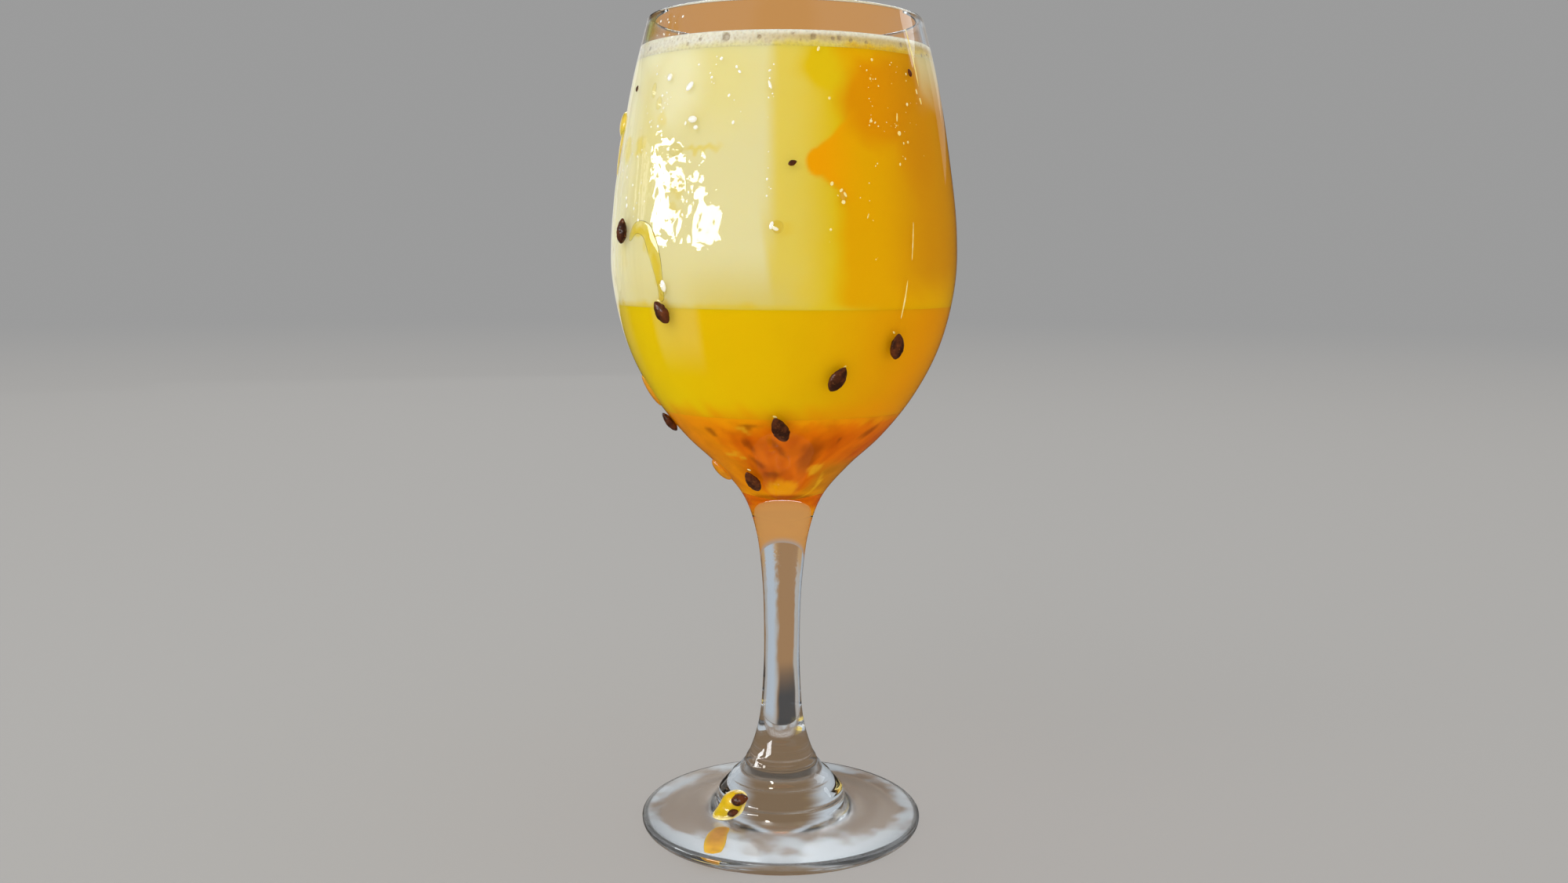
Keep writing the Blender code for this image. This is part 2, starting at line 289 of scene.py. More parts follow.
def ripples(x, y, seed, shortest, longest, count=14):
    # A sum of sine waves with seeded directions, phases and lengths, about -1 to 1.
    draw = np.random.default_rng(seed)
    total = 0
    for turn, phase, length in zip(
        draw.uniform(0, math.pi, count), draw.uniform(0, 2 * math.pi, count),
        np.geomspace(shortest, longest, count),
    ):
        total = total + np.sin(2 * math.pi * (x * math.cos(turn) + y * math.sin(turn)) / length + phase)
    return total / math.sqrt(2 * count)


def roundArc(azimuth):
    # Two values that let ripples close on themselves round the glass: a circle of 40 mm radius.
    return 40 * np.sin(np.radians(azimuth)), 40 * np.cos(np.radians(azimuth))


# Materials


def feed(socket, value):
    # Gives a socket another node's output, a number, a vector or a colour.
    if isinstance(value, bpy.types.NodeSocket):
        socket.id_data.links.new(value, socket)
    elif socket.type == "RGBA":
        socket.default_value = (*value, 1)
    else:
        socket.default_value = value


def feedAll(node, inputs):
    for name, value in inputs.items():
        feed(node.inputs[name], value)


def newMaterial(name):
    made = bpy.data.materials.new(name)
    made.use_nodes = True
    return made, made.node_tree.nodes


def setShader(made, inputs):
    # Feeds the sockets of the material's shader.
    feedAll(made.node_tree.nodes["Principled BSDF"], inputs)
    return made


def addNode(nodes, kind, inputs=(), **values):
    # A node with its properties set and then its inputs fed.
    node = nodes.new(kind)
    for name, value in values.items():
        setattr(node, name, value)
    feedAll(node, dict(inputs))
    return node


def calc(nodes, operation, *values, clamp=False):
    node = addNode(nodes, "ShaderNodeMath", enumerate(values), operation=operation, use_clamp=clamp)
    return node.outputs["Value"]


def mixColour(nodes, factor, first, second):
    # first + (second - first) * factor
    inputs = {0: factor, 6: first, 7: second}
    return addNode(nodes, "ShaderNodeMix", inputs, data_type="RGBA").outputs[2]


def mixShader(nodes, factor, first, second):
    return addNode(nodes, "ShaderNodeMixShader", {0: factor, 1: first, 2: second}).outputs["Shader"]


def ramp(nodes, source, low, high):
    # Rises smoothly from 0 at low to 1 at high.
    inputs = {"Value": source, "From Min": low, "From Max": high}
    node = addNode(nodes, "ShaderNodeMapRange", inputs, interpolation_type="SMOOTHSTEP")
    return node.outputs["Result"]


def objectPlace(nodes):
    return addNode(nodes, "ShaderNodeTexCoord").outputs["Object"]


def axisOf(nodes, vector, axis):
    return addNode(nodes, "ShaderNodeSeparateXYZ", {"Vector": vector}).outputs[axis]


def noiseAt(nodes, place, scale, detail=2.0):
    inputs = {"Vector": place, "Scale": scale, "Detail": detail}
    return addNode(nodes, "ShaderNodeTexNoise", inputs).outputs["Fac"]


def readMask(nodes, mask):
    return addNode(nodes, "ShaderNodeAttribute", attribute_name=mask).outputs["Fac"]


def makeMottleGroup():
    # Colour + (Second - Colour) * Share * Mask. Mask rises smoothly as a noise on Object coordinates
    # goes from Low to High.
    group = bpy.data.node_groups.new("mottle", "ShaderNodeTree")
    for way, kind, names in (
        ("INPUT", "NodeSocketColor", ("Colour", "Second")),
        ("INPUT", "NodeSocketFloat", ("Share", "Scale", "Detail", "Low", "High")),
        ("OUTPUT", "NodeSocketColor", ("Result",)), ("OUTPUT", "NodeSocketFloat", ("Mask",)),
    ):
        for name in names:
            group.interface.new_socket(name, in_out=way, socket_type=kind)
    nodes = group.nodes
    given = addNode(nodes, "NodeGroupInput").outputs
    noise = noiseAt(nodes, objectPlace(nodes), given["Scale"], given["Detail"])
    mask = ramp(nodes, noise, given["Low"], given["High"])
    share = calc(nodes, "MULTIPLY", mask, given["Share"])
    mixed = mixColour(nodes, share, given["Colour"], given["Second"])
    addNode(nodes, "NodeGroupOutput", {"Result": mixed, "Mask": mask})
    return group


mottleGroup = makeMottleGroup()


def mottled(nodes, colour, second, scale, share=1.0, band=(0.35, 0.7), detail=3.0):
    # Places the mottle group; returns its colour and its mask.
    inputs = {"Colour": colour, "Second": second, "Share": share, "Scale": scale,
              "Detail": detail, "Low": band[0], "High": band[1]}
    outputs = addNode(nodes, "ShaderNodeGroup", inputs, node_tree=mottleGroup).outputs
    return outputs["Result"], outputs["Mask"]


def mottledMaterial(name, pale, strong, scale, inputs, band=(0.35, 0.7)):
    # A colour mottled with another, and values for the shader's other sockets.
    made, nodes = newMaterial(name)
    return setShader(made, {"Base Color": mottled(nodes, pale, strong, scale, band=band)[0], **inputs})


def maskColour(nodes, look):
    # Lays one colour after another over the look's base, each where the mask of its name says.
    colour = look["base"]
    for mask, over in look["overlays"].items():
        colour = mixColour(nodes, readMask(nodes, mask), colour, over)
    return colour


def bumpFrom(nodes, height, strength, distance):
    inputs = {"Height": height, "Strength": strength, "Distance": distance * mm}
    return addNode(nodes, "ShaderNodeBump", inputs).outputs["Normal"]


def openToLight(made):
    # Light that only passes through on its way to the drink isn't bent, so the drink is lit evenly.
    nodes = made.node_tree.nodes
    path = addNode(nodes, "ShaderNodeLightPath").outputs
    either = calc(nodes, "MAXIMUM", path["Is Shadow Ray"], path["Is Diffuse Ray"])
    clear = addNode(nodes, "ShaderNodeBsdfTransparent", {"Color": glassLook["passing"]})
    shader = nodes["Principled BSDF"].outputs["BSDF"]
    mixed = mixShader(nodes, either, shader, clear.outputs["BSDF"])
    feed(nodes["Material Output"].inputs["Surface"], mixed)
    return made


glassLook = {
    "ior": 1.5,
    "base": (0.985, 0.99, 0.985),
    "overlays": {"juice": (1.0, 0.80, 0.07)},
    "passing": (0.97, 0.97, 0.97),  # what is left of light that only passes through
}


def glassMaterial():
    made, nodes = newMaterial("clearGlass")
    fine = wetSide["fine"]
    _, waves = mottled(nodes, (0, 0, 0), (1, 1, 1), fine["scale"], band=(0.3, 0.7), detail=1.5)
    high = calc(nodes, "MULTIPLY", readMask(nodes, "wet"), waves)
    return openToLight(setShader(made, {
        "Base Color": maskColour(nodes, glassLook), "Roughness": readMask(nodes, "soft"),
        "IOR": glassLook["ior"], "Transmission Weight": 1.0,
        "Normal": bumpFrom(nodes, high, 1.0, fine["stands"]),
    }))


def drinkMaterial(name, look):
    # A cloudy liquid against glass: colours laid over each other by masks, faint clouds in them, and
    # light that spreads a little under the surface.
    made, nodes = newMaterial(name)
    clouds, under = look["clouds"], look["under"]
    colour = maskColour(nodes, look)
    darker = mixColour(nodes, 1 - clouds["dims"], (0, 0, 0), colour)
    return setShader(made, {
        "Base Color": mottled(nodes, colour, darker, clouds["scale"], band=(0.4, 0.75))[0],
        "Roughness": 0.5, "Specular IOR Level": 0.0, "Subsurface Weight": under["share"],
        "Subsurface Radius": under["radius"], "Subsurface Scale": under["reach"] * mm,
    })


# The glass

glassMesh = {
    "domeRings": 16, "edgeRings": 7, "rimRings": 9, "bottomRings": 12,
    "footStep": 0.6,  # between rings of the foot and its mound
    "stemFrom": 20.0,
    "stemStep": 1.6,
    "bowlFrom": 84.0,
    "bowlStep": 1.6,
    "wetFrom": 133.0,
    "liftFrom": 127.0,  # lies below where the relief starts
    "wetStep": 0.47,
    "insideStep": 2.2,
    "columnStep": 3.2,
    "wetAzimuths": (-122.4, -12.0),
    "wetColumnStep": 0.6,
    "filmsFrom": 60,  # juice colours the glass above this height
    "softFoot": (3, 6),  # heights between which the foot is softer
}
# Low rings pressed into the mound: height, how far they stand out, half width
pressedRings = [(17.3, 0.14, 0.7), (15.2, 0.10, 0.6), (12.6, 0.2, 0.8), (8.6, 0.22, 0.9), (5.7, 0.15, 0.8)]
wetSide = {
    # starts, full, full, ends
    "azimuths": (-119, -104, -23, -14),
    "heights": (130, 146, 165, 184),
    "streaks": {"until": (-52, -45), "stands": 0.07, "waves": (1.8, 7.0), "upright": 0.22, "seed": 11},
    "cells": {"stands": 0.04, "waves": (1.8, 10.0), "upright": 0.6, "seed": 5},
    "fine": {"stands": 0.018, "scale": 480},
    "roughness": 0.03,
    "footRoughness": 0.22,
}
# Juice that colours the outside: azimuth, height, half width in degrees, half height, lean, strength
juiceFilms = [
    (-56.0, 168.2, 3.4, 2.2, 0, 0.75), (-66.5, 168.0, 4.0, 2.6, 0, 0.7), (-80.0, 170.0, 7.0, 5.0, 0, 0.45),
    (-27.0, 166.9, 6.8, 0.8, 0, 0.8), (-35.5, 158.5, 3.2, 2.4, 20, 0.6), (-36.5, 153.6, 3.4, 1.4, 20, 0.55),
    (1.0, 150.0, 2.2, 1.0, 0, 0.5), (-51.5, 149.0, 4.5, 1.4, 0, 0.9), (-46.0, 147.0, 3.0, 2.8, -30, 0.95),
    (-43.2, 141.0, 1.9, 4.2, -10, 0.95), (-67.0, 195.5, 7.0, 3.2, 0, 0.8), (-50.0, 194.8, 1.4, 2.6, 0, 0.6),
    (-45.5, 194.8, 1.2, 2.2, 0, 0.5), (-62.0, 144.0, 3.0, 4.0, 0, 0.35), (-45.0, 173.5, 2.2, 1.6, 0, 0.5),
    (-41.0, 133.8, 1.8, 1.2, 0, 0.7),
]

arcOfDegree = 0.72  # millimetres that a degree measures round the bowl


def glassProfile():
    # The whole outline, from the middle of the underside, round the foot, up the outside, over the
    # rim and down the inside, as (radius, height) rows.
    shape, grid = glassShape, glassMesh
    share = np.linspace(0, 1, grid["domeRings"])
    dome = rowsOf(shape["ringInner"] * share, shape["domeHeight"] * (1 - share**2) ** 0.8)
    ring = np.array([[shape["ringOuter"] - 1.0, 0.0]])
    edgeStart, edgeTop = shape["outline"][0]
    edge, footRadius = shape["edgeHeight"], shape["footRadius"]
    a = np.radians(np.linspace(-90, 0, grid["edgeRings"]))
    lower = rowsOf(
        shape["ringOuter"] + (footRadius - shape["ringOuter"]) * np.cos(a), edge * (1 + np.sin(a))
    )
    a = -a[::-1]
    upper = rowsOf(
        edgeStart + (footRadius - edgeStart) * np.cos(a), edge + (edgeTop - edge) * np.sin(a)
    )
    at = [np.interp(h, fineHeights, fineLengths) for h in
          (edgeTop, grid["stemFrom"], grid["bowlFrom"], grid["wetFrom"], rimHeight)]
    steps = (grid["footStep"], grid["stemStep"], grid["bowlStep"], grid["wetStep"])
    along = np.concatenate(
        [np.linspace(low, high, int((high - low) / size), endpoint=False)
         for low, high, size in zip(at, at[1:], steps)] + [[at[-1]]]
    )[1:]
    outside = rowsOf(
        np.interp(along, fineLengths, fineRadii), np.interp(along, fineLengths, fineHeights)
    )
    heading = np.gradient(outside, axis=0)
    heading /= np.linalg.norm(heading, axis=1, keepdims=True)
    for height, stands, width in pressedRings:
        lift = stands * np.exp(-((along - np.interp(height, fineHeights, fineLengths)) / width) ** 2)
        outside = outside + lift[:, None] * rowsOf(heading[:, 1], -heading[:, 0])
    inner = innerRadius(rimHeight)
    half = (outside[-1, 0] - inner) / 2
    a = np.radians(np.linspace(0, 180, grid["rimRings"])[1:-1])
    rim = rowsOf(inner + half + half * np.cos(a), rimHeight + half * np.sin(a))
    down = np.arange(rimHeight, shape["bowlBottom"] + shape["bottomRounding"], -grid["insideStep"])
    down = np.concatenate([down, roundedHeights(shape["bowlBottom"], grid["bottomRings"])[::-1]])
    inside = rowsOf(innerRadius(down), down)
    return np.vstack([dome, ring, lower, upper[1:], outside, rim, inside])


def roundedHeights(bottom, count):
    # Heights up the bowl's rounded bottom, closest together where it is flattest.
    return bottom + glassShape["bottomRounding"] * (1 - np.cos(np.radians(np.linspace(0, 90, count))))


def wetPatch(azimuth, height):
    a, h = wetSide["azimuths"], wetSide["heights"]
    return (step(azimuth, a[0], a[1]) * step(azimuth, a[3], a[2])
            * step(height, h[0], h[1]) * step(height, h[3], h[2]))


def wetRelief(azimuth, height):
    # Height of the film of juice on the outside: upright streaks on the left pass into rounder cells.
    # Both are ripples, and the whole patch fades at its sides.
    wet, relief = wetSide, []
    for part in (wet["streaks"], wet["cells"]):
        waves = ripples(azimuth * arcOfDegree, height * part["upright"], part["seed"], *part["waves"])
        relief.append(part["stands"] * (1 + np.clip(waves, -0.7, 1.8)))
    share = step(azimuth, *wet["streaks"]["until"])
    return wetPatch(azimuth, height) * (relief[0] * (1 - share) + relief[1] * share)


def filmMask(azimuth, height):
    # Where juice colours the glass: leaning ellipses, their edges made uneven by ripples.
    arc = azimuth * arcOfDegree
    shiftA, shiftH = 0.9 * ripples(arc, height, 3, 2, 9), 0.7 * ripples(arc, height, 4, 2, 9)
    return spots(azimuth + shiftA, height + shiftH, juiceFilms, edge=0.8)


def makeGlass():
    grid, (low, high) = glassMesh, glassMesh["wetAzimuths"]
    fine = np.linspace(low, high, round((high - low) / grid["wetColumnStep"]), endpoint=False)
    coarse = np.linspace(high, low + 360, int((low + 360 - high) / grid["columnStep"]), endpoint=False)
    vertices, quads, triangles = turned(glassProfile(), np.concatenate([fine, coarse]))
    azimuth, height = azimuthAndHeight(vertices)
    radius = np.hypot(vertices[:, 0], vertices[:, 1])
    outside = (radius > outerRadius(height) - 0.05) & (height > grid["filmsFrom"])
    wet = outside & (height > grid["liftFrom"])
    lifted = placeOnGlass(azimuth, height, wetRelief(azimuth, height))
    vertices = np.where(wet[:, None], lifted, vertices)
    foot = (height > grid["softFoot"][0]) & (height < grid["softFoot"][1])
    patch = wetPatch(azimuth, height) * wet
    putMesh(
        "wineGlass", [(vertices, quads, triangles)], glassMaterial(), ["glass"],
        {"juice": filmMask(azimuth, height) * outside, "wet": patch,
         "soft": wetSide["roughness"] * patch + wetSide["footRoughness"] * foot},
    )


# The drink: four layers that reach just into the wall. Each look's overlays lie over its base in
# their order, each where the mask of its name says.

drinkMesh = {"columns": 420, "rowStep": 0.7, "intoWall": 0.12, "bottomRings": 16, "nearCorner": 0.02}
pulpLook = {
    "base": (0.72, 0.150, 0.0005),
    "overlays": {
        "bright": (0.85, 0.31, 0.001),
        "deep": (0.60, 0.105, 0.0005),
        "dull": (0.56, 0.19, 0.005),
        # dark places where seeds lie deeper, and painted shade in a dark line along the very bottom
        "smudgeAndShade": (0.20, 0.035, 0.001),
        "jelly": (0.78, 0.40, 0.012),
        # painted light that the bowl's rounded bottom gathers
        "glow": (0.80, 0.30, 0.002),
    },
    "clouds": {"scale": 170, "dims": 0.16},
    "under": {"share": 0.2, "radius": (1.0, 0.45, 0.1), "reach": 2.0},
}
juiceLook = {
    "base": (0.77, 0.53, 0.001),
    "overlays": {
        "pale": (0.76, 0.58, 0.09),
        "orange": (0.74, 0.28, 0.001),
        "toPulp": (0.76, 0.28, 0.001),
    },
    "clouds": {"scale": 60, "dims": 0.04},
    "under": {"share": 0.2, "radius": (1.0, 0.6, 0.1), "reach": 3.0},
}
milkyLook = {
    "base": (0.76, 0.69, 0.345),
    "overlays": {
        "sunny": (0.80, 0.70, 0.23),
        "pale": (0.87, 0.83, 0.53),
        "yellow": (0.75, 0.59, 0.095),
        "low": (0.70, 0.56, 0.125),
        "deepYellow": (0.74, 0.51, 0.006),
        "gold": (0.77, 0.385, 0.001),
        "orange": (0.72, 0.285, 0.001),
        "tip": (0.85, 0.355, 0.001),
        # painted shade down the right limb, brown as the table that it mirrors
        "rightLimbShade": (0.60, 0.245, 0.004),
        # a painted whitish reflection at the right limb under the foam
        "whiteReflection": (0.72, 0.62, 0.32),
        "joint": (0.76, 0.53, 0.02),
    },
    "clouds": {"scale": 45, "dims": 0.03},
    "under": {"share": 0.25, "radius": (1.0, 0.7, 0.3), "reach": 3.0},
}
foamLook = {
    "base": (0.80, 0.78, 0.65),
    "overlays": {
        "warm": (0.60, 0.46, 0.19),
        "under": (0.76, 0.69, 0.345),
        "underYellow": (0.74, 0.585, 0.09),
        "underGold": (0.73, 0.43, 0.01),
        # the painted whitish reflection of the right limb, carried into the foam's lower edge
        "underReflection": (0.72, 0.62, 0.32),
        "bubble": (0.36, 0.24, 0.12),
    },
    "frothScale": 1500,
}
# Dark places in the pulp, where seeds lie deeper in it, and pale jelly between them: azimuth,
# height, half width in degrees, half height, lean
pulpSmudges = [
    (-41.0, 103.5, 3.0, 0.9, 10), (-16.5, 105.3, 5.0, 0.6, 0), (-20.0, 100.6, 3.0, 1.4, 25),
    (-10.5, 92.6, 8.5, 0.75, 0), (18.0, 97.4, 6.5, 4.0, -30), (-20.0, 96.0, 4.0, 1.0, 20),
    (52.0, 103.2, 5.0, 1.1, -15), (33.0, 101.8, 1.2, 0.5, 0), (-3.0, 100.0, 6.0, 1.0, 30),
    (118.0, 103.0, 5.0, 1.2, 10), (150.0, 98.0, 4.0, 1.6, 30), (-100.0, 102.0, 4.0, 1.2, -20),
    (-135.0, 104.0, 5.0, 1.0, 0), (-160.0, 97.0, 4.0, 1.5, 25), (178.0, 104.5, 4.0, 1.0, 10),
]
pulpJelly = [
    (-21.0, 104.3, 3.2, 0.5, 15), (-36.0, 97.9, 6.0, 0.5, 0), (-30.0, 97.0, 3.0, 0.4, 0),
    (29.0, 94.0, 6.0, 1.4, 0), (52.0, 89.4, 12.0, 0.8, 20), (100.0, 100.0, 4.0, 0.8, 0),
    (-120.0, 99.0, 5.0, 0.8, 0), (160.0, 92.0, 8.0, 0.9, 0),
]

# Patches of the milky layer, with their strength and soft edge after the same five values
milkySpots = {
    "sunny": [(-23, 182, 18, 10, 0, 0.5, 1.6), (-54, 166, 12, 13, 0, 0.35, 1.5)],
    "pale": [(-42, 182, 11, 9, 0, 0.7, 1.2)],
    "patch": [(14.0, 184.4, 8.5, 3.4, 0, 1, 1.5)],
    "tongueEnd": [(10.6, 163.8, 3.6, 2.9, 0, 1, 0.4)],
    "orange": [(35, 177.5, 16.5, 9.5, -14, 1, 0.5), (50, 170, 9, 12, 0, 0.8, 0.8),
               (118, 170, 22, 15, 15, 0.7, 0.8), (150, 150, 18, 9, 0, 0.5, 1)],
}


def layerProfile(bottom, top):
    # The outline of a layer, from the middle of its underside round its wall to the middle of its top.
    # Two rings lie close to each corner, so the corner's shading stays in it.
    reach, near, size = -drinkMesh["intoWall"], drinkMesh["nearCorner"], drinkMesh["rowStep"]
    shape = glassShape
    if bottom > shape["bowlBottom"] + 2:
        heights = np.linspace(bottom, top, int((top - bottom) / size) + 2)
        heights = np.concatenate([[bottom, bottom + near], heights[1:-1], [top - near, top]])
        edge = innerRadius(bottom, reach)
        underside = [[0, bottom], [edge * 0.5, bottom], [edge - 2 * near, bottom]]
    else:
        rounding = roundedHeights(shape["bowlBottom"] + reach, drinkMesh["bottomRings"])
        heights = np.arange(rounding[-1] + size, top - 0.3, size)
        heights = np.concatenate([rounding, heights, [top - near, top]])
        underside = []
    wall = rowsOf(innerRadius(heights, reach), heights)
    edge = wall[-1, 0]
    topside = [[edge - 2 * near, top], [edge * 0.9, top], [edge * 0.5, top], [0, top]]
    return np.vstack([np.array(underside).reshape(-1, 2), wall, topside])


def makeLayer(name, node, bottom, top, look, masks):
    part = turned(layerProfile(bottom, top), azimuthsOf(drinkMesh["columns"]))
    putMesh(name, [part], look, [node], masks(*azimuthAndHeight(part[0])))


def milkyMasks(azimuth, height):
    # The creamy side; the yellow beside it, which starts at a straight edge and deepens; the golden
    # side with its orange patch and the tongue that reaches out of it; after it painted shade down the
    # right limb, brown as the table that it mirrors, with a painted whitish reflection under the foam.
    x, y = roundArc(azimuth)
    a = azimuth + 0.9 * ripples(x + 0.3 * height, y + height, 21, 5, 30)
    h = height + 0.6 * ripples(x + height, y - height, 22, 4, 20)
    found = {name: spots(a, h, rows) for name, rows in milkySpots.items()}
    back = step(azimuth, 176, 150)
    yellowStart = azimuth + 1.2 * ripples(x + 0.2 * height, y, 23, 2, 12)
    patch = found["patch"]
    notch = step(h, 185, 182) * step(h, 167.5, 170.5) * step(a, 25.5, 19.5)
    gold = step(a, 14.0, 21.0) * (1 - notch) * back
    # the tongue lies between two slanting edges, and its tip is round
    upper = 165.6 + 0.66 * np.clip(a - 9, 0, 40)
    lower = 162.4 - 0.55 * np.clip(a - 9, 0, 14)
    tongue = step(h - upper, 0.9, -0.9) * step(h - lower, -1.4, 1.0)
    tongue = np.maximum(tongue * step(a, 6.6, 9.2) * step(a, 40, 28), found["tongueEnd"])
    tip = tongue * step(a, 27, 10)
    leftTop = step(a, -38, -58) * step(azimuth, -160, -115) * step(h, 181, 188)
    leftSide = step(a, -52, -68)
    low = step(height, 146, 131) * step(a, 12, 0) * back * (0.35 + 0.65 * step(a, -40, -20))
    jointTop = height + 0.45 * ripples(x, y, 24, 3, 20) - height.min()
    return {
        "sunny": np.maximum(0.15 * leftSide * step(azimuth, -150, -110), found["sunny"]),
        "pale": np.maximum.reduce(
            [found["pale"], 0.9 * leftTop, 0.95 * leftSide * step(azimuth, -165, -125)]
        ),
        "yellow": step(yellowStart, -8.0, -1.5) * step(azimuth, 179, 165),
        "low": 0.9 * low,
        "deepYellow": np.clip(step(a, 0, 19) * back + patch, 0, 1),
        "gold": np.clip(np.maximum(gold * (1 - 0.7 * patch), tongue), 0, 1),
        "orange": found["orange"] * (1 - 0.9 * tip),
        "tip": tip,
        # painted shade down the right limb, brown as the table that it mirrors
        "rightLimbShade": 0.85 * step(azimuth, 28, 54) * step(azimuth, 140, 95) * step(h, 132, 142),
        # a painted whitish reflection at the right limb under the foam
        "whiteReflection": 0.9 * step(a, 51, 60) * step(azimuth, 125, 95) * step(h, 175, 188),
        "joint": 0.8 * step(jointTop, 1.7, -0.1) * step(a, 34, 16) * back,
    }


def juiceMasks(azimuth, height):
    x, y = roundArc(azimuth)
    a = azimuth + 1.5 * ripples(x, y, 31, 8, 50)
    h = height + 1.3 * ripples(x + height, y, 32, 6, 30) - 0.02 * np.clip(away(azimuth, -50), 0, 110)
    paleColumn = step(azimuth, -50, -46) * step(azimuth, -27, -31) * step(height, 116, 127)
    leftEdge = step(azimuth, -62, -70) * step(azimuth, -150, -110)
    orange = np.clip(0.25 * step(a, -60, -10) + 0.75 * step(a, -14, 62), 0, 1)
    return {
        "pale": np.maximum(0.65 * paleColumn, 0.5 * leftEdge * step(height, 112, 126)),
        "orange": orange * step(azimuth, 179, 130),
        "toPulp": step(h, 111.0, 104.5),
    }


def pulpMasks(azimuth, height):
    # Bright at its top and left, deep in the middle, dull at its lower right, with a painted glow where
    # the bowl's bottom gathers light and painted shade in a dark line along the very bottom.
    x, y = roundArc(azimuth)
    a = azimuth + 1.2 * ripples(x, y + 2 * height, 41, 3, 14)
    h = height + 0.35 * ripples(x, y + 2 * height, 42, 3, 14)
    smudgeAndShade = spots(a, h, pulpSmudges, edge=1.2)
    mottle = ripples(x, y + 1.5 * height, 43, 5, 25)
    left = step(a, -18, -48) * step(azimuth, -170, -130)
    bottomLens = step(h + 0.003 * azimuth**2, 91.8, 90.2) * step(np.abs(azimuth + 3), 30, 18)
    return {
        "deep": np.clip(0.4 + 0.6 * mottle, 0, 1) * step(height, 105.5, 102) * (1 - 0.8 * left),
        "bright": np.maximum.reduce(
            [step(h + 1.2 * mottle, 101, 108) * (1 - 0.35 * step(a, -12, 5) - 0.4 * step(a, 15, 32)),
             step(h + 0.6 * mottle, 104.6, 106.8) * (1 - 0.3 * step(a, 15, 40)), 0.75 * left]
        ),
        "dull": step(a, 24, 44) * step(azimuth, 150, 100) * step(h, 97.5, 93.5),
        # dark places of sunk seeds, and painted shade along the very bottom
        "smudgeAndShade": np.maximum(0.62 * smudgeAndShade, 0.6 * step(height, 87.6, 86.7)),
        "jelly": 0.75 * spots(a, h, pulpJelly, edge=0.9),
        # painted glow where the bowl's bottom gathers light
        "glow": np.maximum(bottomLens, 0.5 * step(h, 89.5, 87.5)) * step(height, 86.8, 87.6),
    }


foamShape = {
    "climb": 0.9,  # how far the foam's skin climbs the wall
    "below": 0.4,  # how far its flat top lies under the node's
    "columns": 720, "wallRings": 15,
    "inward": (0.25, 0.7, 1.4, 2.6, 4.4, 7, 11, 16, 22, 28),  # rings of the skin, from the wall
    "fallsOver": 0.8,
    "bubbleDepth": 0.7,  # of a hollow, as a share of its radius
    "bubbleSeed": 5,
    "wallBubbles": [
        # azimuth, height, radius: the ones that show, then a seeded row
        (-22.3, 190.9, 1.05), (-9.5, 190.7, 0.5), (10.2, 190.8, 0.75), (17.5, 190.6, 0.5),
        (24.5, 190.4, 0.45), (31.0, 190.2, 0.4), (-33.0, 190.8, 0.45),
    ],
    "seededBubbles": 70,
    "topBubbles": 420,
}


def wallBubbles():
    draw = np.random.default_rng(foamShape["bubbleSeed"])
    count = foamShape["seededBubbles"]
    azimuths, heights = draw.uniform(-180, 180, count), draw.uniform(189.3, 191.6, count)
    seeded = rowsOf(azimuths, heights, draw.gamma(2.5, 0.07, count) + 0.1)
    return np.vstack([foamShape["wallBubbles"], seeded])


def foamMaterial():
    made, nodes = newMaterial("foam")
    colour = maskColour(nodes, foamLook)
    inputs = {"Vector": objectPlace(nodes), "Scale": foamLook["frothScale"]}
    froth = addNode(nodes, "ShaderNodeTexVoronoi", inputs)
    cells = ramp(nodes, froth.outputs["Distance"], 0.1, 0.75)
    dim = mixColour(nodes, 0.2, colour, foamLook["overlays"]["bubble"])
    return setShader(made, {
        "Base Color": mixColour(nodes, cells, dim, colour), "Normal": bumpFrom(nodes, cells, 0.4, 0.3),
        "Roughness": 0.6, "Specular IOR Level": 0.2, "Subsurface Weight": 0.3,
        "Subsurface Radius": (1, 0.8, 0.5), "Subsurface Scale": 1.5 * mm,
    })


